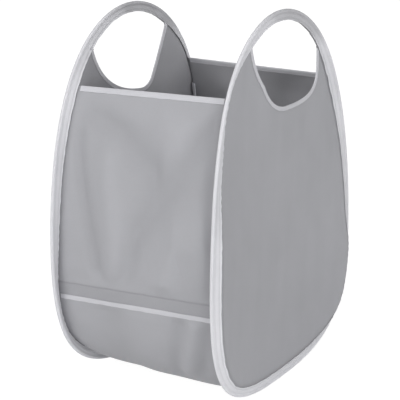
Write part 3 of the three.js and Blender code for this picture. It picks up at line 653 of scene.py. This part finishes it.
# How far up a panel a place is, and how free its cloth is to fold
def wallCalm(k, height):
    edgeHeight = np.where(onFront(k), wall["frontEdge"], wall["backEdge"])
    up = np.clip((height - wall["seam"]) / (edgeHeight - wall["seam"]), 0, 1)
    return up, smooth(up, wall["foldFade"] / 2, wall["foldFade"]) * smooth(1 - up, 0, wall["foldFade"])


def belowSeam(k, across):  # in stations, from the seam on the same side
    return np.abs(k - np.where(onFront(k), frontSeam(across), backSeam(across)))


def isBase(k, across):  # between the two seams
    return (k > frontSeam(across)) & (k < backSeam(across))


# Folds of the panel that a place is on: times how free the cloth is on the walls, and rising
# from the seams on the bottom
def foldsAt(k, across, height):
    up, calm = wallCalm(k, height)
    front, back = (foldHeight(folds, across, up) for folds in (frontFolds, backFolds))
    below = belowSeam(k, across)
    low = foldHeight(baseFolds, across, below, wall["baseScale"]) * smooth(below, 0, 0.7)
    return np.where(onFront(k), front, back) * calm + np.where(isBase(k, across), low, 0)


# A point on the middle of the wall's cloth: the hoops' seams joined by a straight line, sagging
# under the bottom, with folds, ripples and puckers along the way out. k counts stations.
def wallPoint(k, across):
    k, across = np.broadcast_arrays(np.asarray(k, float), across)
    past, under = hoop["tapeWidth"] + wall["foldOut"], -wall["offset"] - wall["foldDrop"]
    inset = np.array([wall["foldRun"], 0, 0])
    left, right = (tapePoint(k, past, under, side) - side * inset for side in (-1, 1))
    straight = mix(left, right, (1 + across[..., None]) / 2)
    outward = outwardAt(k)
    calm = wallCalm(k, straight[..., 2])[1]
    closed = 1 - np.abs(across) ** wall["sagPower"]
    down = np.minimum(outward[..., 2], 0)
    x, run, below = straight[..., 0], k * pitch, belowSeam(k, across) * pitch
    toEdge = np.minimum(np.abs(k - frontEdge(across)), np.abs(k - backEdge(across))) * pitch
    toHoop = (1 - np.abs(across)) * wall["halfWidth"]
    finer = ripples(x, run, **wall["ripple"]) * smooth(toEdge, *wall["edgeEase"])
    finer = finer + puckers(run, toHoop, **wall["pucker"])
    finer = finer + puckers(x, below, **wall["seamPucker"]) * smooth(below, *wall["seamEase"])
    free = np.where(isBase(k, across), 1, calm)
    finer = finer * smooth(toHoop, 0, wall["hoopEase"]) * mix(wall["calmest"], 1, free)
    folds = foldsAt(k, across, straight[..., 2])
    bulge = wall["bulge"] * (1 - across ** wall["bulgePower"]) * calm
    out = closed * (wall["sag"] * down * down + folds + finer) + bulge
    return straight + outward * out[..., None]


# How far a place lies up the wall from the crease over a seam
def aboveCrease(k, across, line, upward):
    return upward * (line(across) - k) * pitch - wall["crease"]


# Groove that the facing's stitches pull into a panel: a bell up the wall, made uneven along it
# by two sines, and deeper near the hoops
def creaseDepth(k, across, line, upward):
    soft = 0.6 + 0.4 * np.sin(across * 23) * np.sin(across * 7 + 1) + 0.5 * smooth(np.abs(across), 0.8, 1)
    return wall["creaseDepth"] * soft * bell(aboveCrease(k, across, line, upward), wall["creaseWidth"])


# Grid of a wall panel: into the left tape, round a soft turn, over the wall and back, and its painted shade
def wallGrid(fromLine, toLine, fromGap, toGap, creaseLine=None, upward=1):
    span = (toLine(np.array(0.0)) - fromLine(np.array(0.0))) * pitch
    share = np.linspace(0, 1, int(span / wall["rowLength"]))[:, None]
    quarter = pi / 2
    across = np.sin(quarter * np.linspace(-1, 1, wall["columns"]) * wall["crowding"])
    across = across / sin(quarter * wall["crowding"])
    k = mix(fromLine(across) + fromGap / pitch, toLine(across) - toGap / pitch, share)
    middle = wallPoint(k, across)
    up = wallCalm(k, middle[..., 2])[0]
    valley = np.clip(-foldsAt(k, across, middle[..., 2]) / wall["foldDepth"], -0.4, 1)
    # Painted shade along both hoops' seams, a painted shadow of the hoop's tape at the right end, darker in
    # the folds' valleys and a little lighter on their ridges; over a seam, painted shade on the doubled
    # strip between the seam and the crease and in the crease itself
    tint = wall["paintedShade"]
    paintedShade = tint["hoop"] * np.exp(-(1 - np.abs(across)) * wall["halfWidth"] / tint["hoopReach"])
    paintedShade = paintedShade + tint["end"] * bell(1 - across, mix(*tint["endWidth"], up)) + tint["valley"] * valley
    if creaseLine:
        middle -= outwardAt(k) * creaseDepth(k, across, creaseLine, upward)[..., None]
        rise = aboveCrease(k, across, creaseLine, upward)
        paintedShade = paintedShade + tint["doubled"] * smooth(rise, tint["doubledEdge"], -tint["doubledEdge"])
        paintedShade = paintedShade + tint["crease"] * bell(rise, tint["creaseWidth"])
    parts = []
    t = np.linspace(0, 1, wall["foldSteps"])[None, :-1, None]
    for side, column in ((-1, 0), (1, -1)):
        deep, lip, corner = (tapePoint(k[:, column], hoop["tapeWidth"] + past, -wall["offset"] - drop, side)
                             for past, drop in ((-wall["tuck"], 0), (wall["lip"], 0),
                                                (wall["foldOut"], wall["foldDrop"])))
        soft = bend(lip[:, None], corner[:, None], middle[:, column][:, None], t)
        part = np.concatenate([deep[:, None], soft], 1)
        parts.append(part if side < 0 else part[:, ::-1])
    paintedShade = np.pad(paintedShade, ((0, 0), (wall["foldSteps"], wall["foldSteps"])), mode="edge")
    return np.concatenate([parts[0], middle, parts[1]], 1), bothFaces(paintedShade)


strip = {
    "endShare": 0.985, "columns": 170, "aimStep": 3, "facingHeight": 27, "facingWall": 0.4,
    "facingGap": 0.5, "facingRows": 14, "creaseShare": 0.97, "creasePlaces": 400, "creaseThread": 0.2,
}
topTape = {
    "height": 10, "wall": 0.8, "gap": 0.15, "stitchInset": 1.9, "groove": 0.25, "grooveReach": 1,
    "faceTop": [], "soften": 0.3, "liningTop": -0.6, "pinch": 0.5,
    "wave": {"size": 0.2, "seed": 61, "length": 22},
}
flatTape = {
    "height": 8, "wall": 0.8, "gap": 0.15, "stitchInset": 1.5, "groove": 0.25, "grooveReach": 0.9,
    "edgeReach": 0.8, "edgeDrop": 0.15, "crown": 0.12,
    "wave": {"size": 0.2, "seed": 64, "length": 20},
}
stripAcross = np.linspace(-1, 1, strip["columns"]) * strip["endShare"]
stripAlong = stripAcross * wall["halfWidth"]


# Places along a strip with their directions: up the cloth and out of it
def stripFrame(line, upward):
    k = line(stripAcross)
    here = wallPoint(k, stripAcross)
    up = unit(here - wallPoint(k + upward * strip["aimStep"] / pitch, stripAcross))
    out = unit(np.cross(up, unit(np.gradient(here, axis=0))))
    return here, up, out * np.sign((out * outwardAt(k)).sum(-1, keepdims=True))


# Tape folded over a wall's top edge, its inner face first
def edgeBinding(line, upward):
    here, up, out = stripFrame(line, upward)
    return foldedTape(topTape, wall["cloth"], stripAlong, here, up, -out)


# Flat tape over a seam, a little thicker in its middle, with a groove along each edge
def seamTape(line, upward):
    here, up, out = stripFrame(line, upward)
    inner, reach = wall["cloth"] / 2 + flatTape["gap"], flatTape["height"] / 2
    outer, inset = inner + flatTape["wall"], reach - flatTape["stitchInset"]
    bottom = outer - flatTape["groove"]
    half = [(reach, outer - flatTape["edgeDrop"]), (reach - flatTape["edgeReach"], outer),
            (inset, bottom), (inset - flatTape["grooveReach"], outer)]
    face = half + [(0, outer + flatTape["crown"])] + [(-place, height) for place, height in half[::-1]]
    section = face + [(place, inner) for place, _ in face[::-1]]
    paths = [(here + way * up * inset + out * bottom, out) for way in (1, -1)]
    return carried(section, flatTape["wave"], stripAlong, here, up, out), paths


# Cloth inside the wall, from its seam up to the crease, as far in as its own thickness needs
def seamFacing(line, upward):
    rise = np.linspace(0, strip["facingHeight"], strip["facingRows"])[:, None] / pitch * upward
    k = line(stripAcross) - rise
    away = wall["cloth"] / 2 + strip["facingGap"] + strip["facingWall"] / 2
    away = away + creaseDepth(k, stripAcross, line, upward)
    return wallPoint(k, stripAcross) - outwardAt(k) * away[..., None]


# Path of the stitches in the groove, on the cloth's outer face
def creasePaths(line, upward):
    across = np.linspace(-1, 1, strip["creasePlaces"]) * strip["creaseShare"]
    k = line(across) - upward * wall["crease"] / pitch
    outward = outwardAt(k)
    depth = wall["cloth"] / 2 - creaseDepth(k, across, line, upward)
    return [(wallPoint(k, across) + outward * depth[:, None], outward)]


label = {
    "height": 458, "width": 26, "rows": 27, "length": 19, "wall": 0.4, "turn": 45, "start": 1,
    "gap": 0.9, "curl": 1.6, "inset": 3, "places": 12, "tipPlaces": 7, "tipTurn": 70, "pinch": 0.35,
    "swell": 1.25,
}


# A ribbon folded into a loop that stands out of the back left seam and curls a little
def careLabel():
    rise = np.linspace(-0.5, 0.5, label["rows"]) * label["width"]
    k = hoop["stations"] - stationAt(label["height"] + rise)
    root = tapePoint(k, hoop["tapeWidth"] + label["inset"], 0, -1)
    turn = radians(label["turn"])
    along = np.array([sin(turn), -cos(turn), 0])
    aside = np.array([cos(turn), sin(turn), 0])
    tipStart = label["length"] - label["gap"] - label["wall"]
    straight = np.linspace(label["start"], tipStart, label["places"])
    swell = np.sin(pi * (straight - label["start"]) / (label["length"] * label["swell"]))
    bow = label["gap"] * mix(label["pinch"], 1, swell)
    angle = np.radians(np.linspace(label["tipTurn"], -label["tipTurn"], label["tipPlaces"]))
    tip = np.stack([straight[-1] + bow[-1] * np.cos(angle), bow[-1] * np.sin(angle)], -1)
    line = np.concatenate([np.stack([straight, bow], -1), tip, np.stack([straight, -bow], -1)[::-1]])
    normal = unit(np.stack([-np.gradient(line[:, 1]), np.gradient(line[:, 0])], -1)) * label["wall"] / 2
    section = np.concatenate([line + normal, (line - normal)[::-1]])
    curl = label["curl"] * (section[:, 0] / label["length"]) ** 2
    return root[:, None] + along * section[:, :1] + aside * (section[:, 1:] + curl[:, None])


# A shader node group that takes a Vector and numbers, and puts out numbers
def makeGroup(name, numbers, outputs):
    group = bpy.data.node_groups.new(name, "ShaderNodeTree")
    group.interface.new_socket(name="Vector", in_out="INPUT", socket_type="NodeSocketVector")
    for socket, value in numbers.items():
        made = group.interface.new_socket(name=socket, in_out="INPUT", socket_type="NodeSocketFloat")
        made.default_value = value
    for socket in outputs:
        group.interface.new_socket(name=socket, in_out="OUTPUT", socket_type="NodeSocketFloat")
    return group, group.nodes.new("NodeGroupInput").outputs, group.nodes.new("NodeGroupOutput")


# Gives each input its value, or a link where the value is another node's output
def feed(tree, node, values):
    for socket, value in values.items():
        if isinstance(value, bpy.types.NodeSocket):
            tree.links.new(value, node.inputs[socket])
        else:
            node.inputs[socket].default_value = value
    return node


# A node with its settings and its inputs
def addNode(tree, kind, links=None, **settings):
    node = tree.nodes.new(kind)
    for key, value in settings.items():
        setattr(node, key, value)
    return feed(tree, node, links or {})


def addGroup(tree, group, values):  # puts a group into a material
    return addNode(tree, "ShaderNodeGroup", values, node_tree=group).outputs


def maths(tree, operation, a, b=0.0, c=0.0):  # MULTIPLY_ADD is a times b plus c
    return addNode(tree, "ShaderNodeMath", {0: a, 1: b, 2: c}, operation=operation).outputs[0]


def sineSize(tree, place):  # the sine of a place, without its sign
    return maths(tree, "ABSOLUTE", maths(tree, "SINE", place))


def mixColour(tree, factor, first, second):
    return addNode(tree, "ShaderNodeMix", {0: factor, 6: first, 7: second}, data_type="RGBA").outputs[2]


# Plain weave: two sets of threads that pass over and under each other, from the sines of the
# place across and along, at one thread per step
def weaveGroup():
    numbers = {"Threads Per Metre": 1400, "Slub": 0.3}
    group, given, result = makeGroup("plainWeave", numbers, ["Height", "Gap"])
    slub = addNode(group, "ShaderNodeTexNoise", {"Vector": given["Vector"], "Scale": 260, "Detail": 2})
    parts = addNode(group, "ShaderNodeSeparateXYZ", {0: given["Vector"]})
    shift = maths(group, "MULTIPLY", slub.outputs["Fac"], given["Slub"])
    waves = []
    for axis in (0, 1):
        place = maths(group, "MULTIPLY_ADD", parts.outputs[axis], given["Threads Per Metre"], shift)
        waves.append(maths(group, "SINE", maths(group, "MULTIPLY", place, pi)))
    crossing = maths(group, "MULTIPLY", waves[0], waves[1])
    threads = maths(group, "MULTIPLY", *(maths(group, "ABSOLUTE", wave) for wave in waves))
    feed(group, result, {"Height": maths(group, "MULTIPLY_ADD", crossing, 0.35, threads),
                         "Gap": maths(group, "SUBTRACT", 1.0, threads)})
    return group


# Ribbed tape: ribs across its length, with slow changes of their strength
def ribGroup():
    numbers = {"Ribs Per Metre": 1100, "Weft": 0.35}
    group, given, result = makeGroup("tapeRibs", numbers, ["Height", "Gap"])
    parts = addNode(group, "ShaderNodeSeparateXYZ", {0: given["Vector"]})
    uneven = addNode(group, "ShaderNodeTexNoise", {"Vector": given["Vector"], "Scale": 180, "Detail": 3})
    shift = maths(group, "MULTIPLY", uneven.outputs["Fac"], 0.6)
    along = maths(group, "MULTIPLY_ADD", parts.outputs[1], given["Ribs Per Metre"], shift)
    ribs = sineSize(group, maths(group, "MULTIPLY", along, pi))
    across = maths(group, "MULTIPLY", parts.outputs[0], given["Ribs Per Metre"])
    weft = maths(group, "MULTIPLY", sineSize(group, maths(group, "MULTIPLY", across, 5.0)), given["Weft"])
    feed(group, result, {"Height": maths(group, "ADD", ribs, weft),
                         "Gap": maths(group, "SUBTRACT", 1.0, ribs)})
    return group


# Slow and fast stains of colour: two noises, each from 0 to 1
def mottleGroup():
    group, given, result = makeGroup("mottle", {"Scale": 9}, ["Value", "Fine"])
    slow = addNode(group, "ShaderNodeTexNoise", {"Vector": given["Vector"], "Scale": given["Scale"],
                                                 "Detail": 4, "Roughness": 0.6})
    fineScale = maths(group, "MULTIPLY", given["Scale"], 45.0)
    fine = addNode(group, "ShaderNodeTexNoise", {"Vector": given["Vector"], "Scale": fineScale, "Detail": 2})
    feed(group, result, {"Value": slow.outputs["Fac"], "Fine": fine.outputs["Fac"]})
    return group


weave, ribs, mottle = weaveGroup(), ribGroup(), mottleGroup()


def linear(value):  # from a colour as it is seen on screen
    return tuple(((c + 0.055) / 1.055) ** 2.4 if c > 0.04045 else c / 12.92 for c in value) + (1.0,)


# A new material with its shader's plain values, its coordinates and its stains
def startMaterial(name, stainScale, **plain):
    material = bpy.data.materials.new(name)
    material.use_nodes = True
    tree = material.node_tree
    shader = feed(tree, tree.nodes["Principled BSDF"], plain)
    coordinates = addNode(tree, "ShaderNodeTexCoord").outputs
    stains = addGroup(tree, mottle, {"Vector": coordinates["Object"], "Scale": stainScale})
    return material, tree, shader, coordinates, stains


def addBump(tree, shader, height, strength, distance):  # the distance is in metres
    bump = addNode(tree, "ShaderNodeBump", {"Height": height, "Strength": strength, "Distance": distance})
    feed(tree, shader, {"Normal": bump.outputs[0]})


# A woven finish: colour from dark to light by stains and gaps between threads, less the painted
# shade kept at the mesh's points, and bump from threads
def wovenMaterial(name, look):
    material, tree, shader, coordinates, stains = startMaterial(name, look["stainScale"], **{
        "Sheen Weight": look["sheen"], "Sheen Roughness": 0.5, "Specular IOR Level": look["specular"]})
    pattern = addGroup(tree, look["pattern"], {"Vector": coordinates["UV"], **look["patternValues"]})
    mixed = maths(tree, "MULTIPLY_ADD", stains["Fine"], 0.25, stains["Value"])
    tone = maths(tree, "MULTIPLY_ADD", pattern["Gap"], -look["gapShade"], mixed)
    factor = addNode(tree, "ShaderNodeMapRange", {"Value": tone, "From Min": 0.25, "From Max": 0.95})
    colour = mixColour(tree, factor.outputs[0], linear(look["dark"]), linear(look["light"]))
    paintedShade = addNode(tree, "ShaderNodeAttribute", attribute_name="paintedShade")
    kept = maths(tree, "SUBTRACT", 1.0, paintedShade.outputs["Fac"])
    shaded = addNode(tree, "ShaderNodeVectorMath", {0: colour, "Scale": kept}, operation="SCALE")
    low, high = look["rough"]
    rough = addNode(tree, "ShaderNodeMapRange", {"Value": stains["Value"], "To Min": low, "To Max": high})
    feed(tree, shader, {"Base Color": shaded.outputs[0], "Roughness": rough.outputs[0]})
    height = maths(tree, "MULTIPLY_ADD", stains["Fine"], look["fuzz"], pattern["Height"])
    addBump(tree, shader, height, look["bump"], look["bumpDistance"])
    return material


clothLook = {
    "pattern": weave, "patternValues": {"Threads Per Metre": 1500, "Slub": 0.35}, "stainScale": 7,
    "dark": (0.635, 0.636, 0.652), "light": (0.672, 0.672, 0.69), "gapShade": 0.25, "rough": (0.62, 0.78),
    "fuzz": 0.5, "bump": 0.35, "bumpDistance": 0.0002, "sheen": 0.08, "specular": 0.35,
}
innerLook = {**clothLook, "dark": (0.62, 0.62, 0.637), "light": (0.655, 0.655, 0.672)}
tapeLook = {
    "pattern": ribs, "patternValues": {"Ribs Per Metre": 950, "Weft": 0.35}, "stainScale": 16,
    "dark": (0.83, 0.83, 0.848), "light": (0.885, 0.885, 0.9), "gapShade": 0.3, "rough": (0.6, 0.75),
    "fuzz": 0.4, "bump": 0.45, "bumpDistance": 0.0003, "sheen": 0.1, "specular": 0.35,
}
edgeTapeLook = {**tapeLook, "dark": (0.765, 0.765, 0.785), "light": (0.815, 0.815, 0.833)}
labelLook = {
    "pattern": ribs, "patternValues": {"Ribs Per Metre": 2200, "Weft": 0.6}, "stainScale": 30,
    "dark": (0.88, 0.88, 0.9), "light": (0.93, 0.93, 0.95), "gapShade": 0.2, "rough": (0.45, 0.6),
    "fuzz": 0.2, "bump": 0.3, "bumpDistance": 0.0001, "sheen": 0.1, "specular": 0.4,
}
cloth = wovenMaterial("coatedCloth", clothLook)
innerCloth = wovenMaterial("innerCloth", innerLook)
tape = wovenMaterial("bindingTape", tapeLook)
edgeTape = wovenMaterial("edgeTape", edgeTapeLook)
ribbon = wovenMaterial("labelRibbon", labelLook)


# Sewing thread: two plies that wind round it, as stripes on Object coordinates
def threadMaterial(name, dark, light):
    material, tree, shader, coordinates, stains = startMaterial(
        name, 60.0, **{"Roughness": 0.55, "Sheen Weight": 0.2})
    stripes = addNode(tree, "ShaderNodeTexWave", {"Vector": coordinates["Object"], "Scale": 900,
                                                  "Distortion": 2}, bands_direction="DIAGONAL")
    feed(tree, shader, {"Base Color": mixColour(tree, stains["Value"], linear(dark), linear(light))})
    addBump(tree, shader, stripes.outputs["Fac"], 0.4, 0.0001)
    return material


tapeThread = threadMaterial("paleThread", (0.74, 0.74, 0.76), (0.84, 0.84, 0.86))
clothThread = threadMaterial("greyThread", (0.5, 0.5, 0.52), (0.6, 0.6, 0.62))


# Spring steel: drawn along its length, with faint oil stains
def steelMaterial():
    material, tree, shader, _, stains = startMaterial("springSteel", 40.0, Metallic=0.95)
    tint = mixColour(tree, stains["Value"], (0.18, 0.18, 0.19, 1), (0.34, 0.35, 0.36, 1))
    rough = addNode(tree, "ShaderNodeMapRange", {"Value": stains["Fine"], "To Min": 0.25, "To Max": 0.5})
    feed(tree, shader, {"Base Color": tint, "Roughness": rough.outputs[0]})
    addBump(tree, shader, stains["Fine"], 0.2, 0.0001)
    return material


steel = steelMaterial()
print("materials made")

hollow = {"middle": (0.0, 0.0, 0.29)}  # a cloth's faces that look towards it are its inner ones


# The second material goes to the faces whose normals point towards the hollow's middle
def markInside(mesh):
    centres, normals = np.empty((2, len(mesh.polygons), 3), np.float32)
    mesh.polygons.foreach_get("center", centres.reshape(-1))
    mesh.polygons.foreach_get("normal", normals.reshape(-1))
    inner = ((centres - np.array(hollow["middle"])) * normals).sum(1) < 0
    mesh.polygons.foreach_set("material_index", inner.astype(np.int32))


# Gives a piece its finish and slot, the solid that it replaces, and the body that it rides
def finish(piece, material, node=None, body=None, inside=None):
    piece.data.materials.append(material)
    if inside:
        piece.data.materials.append(inside)
        markInside(piece.data)
    if node:
        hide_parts(node)
    if body:
        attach(piece, body)
    else:
        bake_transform(piece)


# A tape and the stitches along it, from its outlines and their paths
def sewTape(name, made, material, node, body=None, ring=False):
    points, paths = made
    sewn = surface(name, points, ring)
    finish(sewn, material, node, body)
    stitching = stitchRow(f"{name.rpartition('_')[0]}_stitching", paths)
    finish(stitching, tapeThread, body=body)
    return sewn, stitching


for sideName, side, body in (("left", -1, "bag"), ("right", 1, "right_side")):
    points, paintedShade = hoopBinding(side)
    made = points, hoopStitchPaths(side)
    binding, _ = sewTape(f"{sideName}_hoop_tape", made, tape, f"{sideName}_hoop_binding", body, ring=True)
    setPaintedShade(binding, paintedShade)
    grid, paintedShade = sidePanelGrid(side)
    panel = clothShell(f"{sideName}_side_cloth", grid, sidePanel["cloth"])
    setPaintedShade(panel, paintedShade)
    finish(panel, cloth, f"{sideName}_side_panel", body, inside=innerCloth)
    holeBinding, holeStitching = sewTape(
        f"{sideName}_handhole_tape", handholeBinding(side), edgeTape, f"{sideName}_handhole_binding", body)
    for node in (f"{sideName}_hoop_wire", f"{sideName}_wire_sleeve"):
        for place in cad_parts[node].material_slots:
            place.material = steel
print("hoops, side panels and hand holes made")

seamHalf = wall["seamGap"] / 2
walls = {
    "front": {"flat": (0.31, 0.37), "lines": (frontEdge, frontSeam, 0.0, seamHalf, frontSeam, 1)},
    "base": {"flat": (0.31, 0.66), "lines": (frontSeam, backSeam, seamHalf, seamHalf)},
    "back": {"flat": (0.31, 0.37), "lines": (backSeam, backEdge, seamHalf, 0.0, backSeam, -1)},
}
for name, panel in walls.items():
    grid, paintedShade = wallGrid(*panel["lines"])
    piece = clothShell(f"{name}_cloth", grid, wall["cloth"])
    setPaintedShade(piece, paintedShade)
    finish(piece, cloth, f"{name}_panel", inside=innerCloth)

edges = (("front", frontEdge, frontSeam, 1), ("back", backEdge, backSeam, -1))
for name, edgeLine, seamLine, upward in edges:
    sewTape(f"{name}_edge_tape", edgeBinding(edgeLine, upward), edgeTape, f"{name}_edge_binding")
    sewTape(f"{name}_seam_strip", seamTape(seamLine, upward), edgeTape, f"{name}_seam_tape")
    facing = clothShell(f"{name}_facing", seamFacing(seamLine, upward), strip["facingWall"])
    finish(facing, innerCloth, f"{name}_seam_facing")
    paths = creasePaths(seamLine, upward)
    finish(stitchRow(f"{name}_crease_stitching", paths, strip["creaseThread"]), clothThread)
finish(surface("blank_label", careLabel()), ribbon, "care_label", "bag")
print("walls, strips and label made")

stage = {"size": 12, "floorColour": 0.8, "floorSeen": 0.2, "floorGlow": 0.95, "sky": 0.25}


def seenRay(tree):  # 1 for what the camera, a reflection or glass sees
    rays = addNode(tree, "ShaderNodeLightPath").outputs
    seen = maths(tree, "MAXIMUM", rays["Is Camera Ray"], rays["Is Glossy Ray"])
    return maths(tree, "MAXIMUM", seen, rays["Is Transmission Ray"])


# A floor that glows white where it is seen, and is a pale surface to the object
def stageFloor():
    half = stage["size"] / 2
    mesh = bpy.data.meshes.new("floor")
    corners = [(-half, -half, 0), (half, -half, 0), (half, half, 0), (-half, half, 0)]
    mesh.from_pydata(corners, [], [(0, 1, 2, 3)])
    addToScene("floor", mesh)
    material = bpy.data.materials.new("whiteFloor")
    material.use_nodes = True
    tree = material.node_tree
    seen = seenRay(tree)
    dark, pale = stage["floorSeen"], stage["floorColour"]
    colour = maths(tree, "MULTIPLY_ADD", seen, dark - pale, pale)
    feed(tree, tree.nodes["Principled BSDF"], {
        "Base Color": colour, "Roughness": 0.9, "Specular IOR Level": 0, "Emission Color": (1, 1, 1, 1),
        "Emission Strength": maths(tree, "MULTIPLY", seen, stage["floorGlow"])})
    mesh.materials.append(material)


# A sky that is white where it is seen, and dimmer as a light
def stageSky():
    world = bpy.data.worlds.new("softSky")
    scene.world = world
    world.use_nodes = True
    tree = world.node_tree
    strength = addNode(tree, "ShaderNodeMix", {0: seenRay(tree), 2: stage["sky"], 3: 1.0}, data_type="FLOAT")
    feed(tree, tree.nodes["Background"], {"Color": (1, 1, 1, 1), "Strength": strength.outputs[0]})


lamps = [
    {"name": "keyLight", "towards": (0.45, 0.85, -0.65), "strength": 1.4, "spread": 45},
    {"name": "frontLight", "towards": (0.0, 1.0, 0.0), "strength": 1.04, "spread": 45},
    {"name": "rightLight", "towards": (-1.0, 0.3, -0.1), "strength": 2.13, "spread": 45},
]


def stageLamps():
    for lamp in lamps:
        data = bpy.data.lights.new(lamp["name"], "SUN")
        data.energy = lamp["strength"]
        data.angle = radians(lamp["spread"])
        turn = Vector(lamp["towards"]).to_track_quat("-Z", "Y")
        addToScene(lamp["name"], data).rotation_euler = turn.to_euler()


# The photograph's view. The focal length is in pixels of a picture 400 pixels wide.
view = {
    "azimuth": 33.135, "elevation": 15.696, "roll": -0.848, "distance": 1.97156,
    "aim": (-0.010456, -0.006826, 0.300679), "focal": 1121.64, "pixels": 400, "sensor": 36,
}


# The camera stands off its aim by the distance, in the direction of the azimuth and elevation,
# and is turned about that direction by the roll
def stageCamera():
    azimuth, elevation, roll = (radians(view[key]) for key in ("azimuth", "elevation", "roll"))
    level = cos(elevation)
    right = np.array([cos(azimuth), sin(azimuth), 0])
    back = np.array([sin(azimuth) * level, -cos(azimuth) * level, sin(elevation)])
    up = np.cross(back, right)
    data = bpy.data.cameras.new("photoCamera")
    data.sensor_width = view["sensor"]
    data.lens = view["focal"] / view["pixels"] * view["sensor"]
    camera = addToScene("photoCamera", data)
    axes = [right * cos(roll) + up * sin(roll), up * cos(roll) - right * sin(roll), back]
    place = np.array(view["aim"]) + back * view["distance"]
    rows = [[*(axis[row] for axis in axes), place[row]] for row in range(3)]
    camera.matrix_world = Matrix(rows + [[0, 0, 0, 1]])
    scene.camera = camera


stageFloor()
stageSky()
stageLamps()
stageCamera()
scene.view_settings.view_transform = "Standard"
print("stage made")
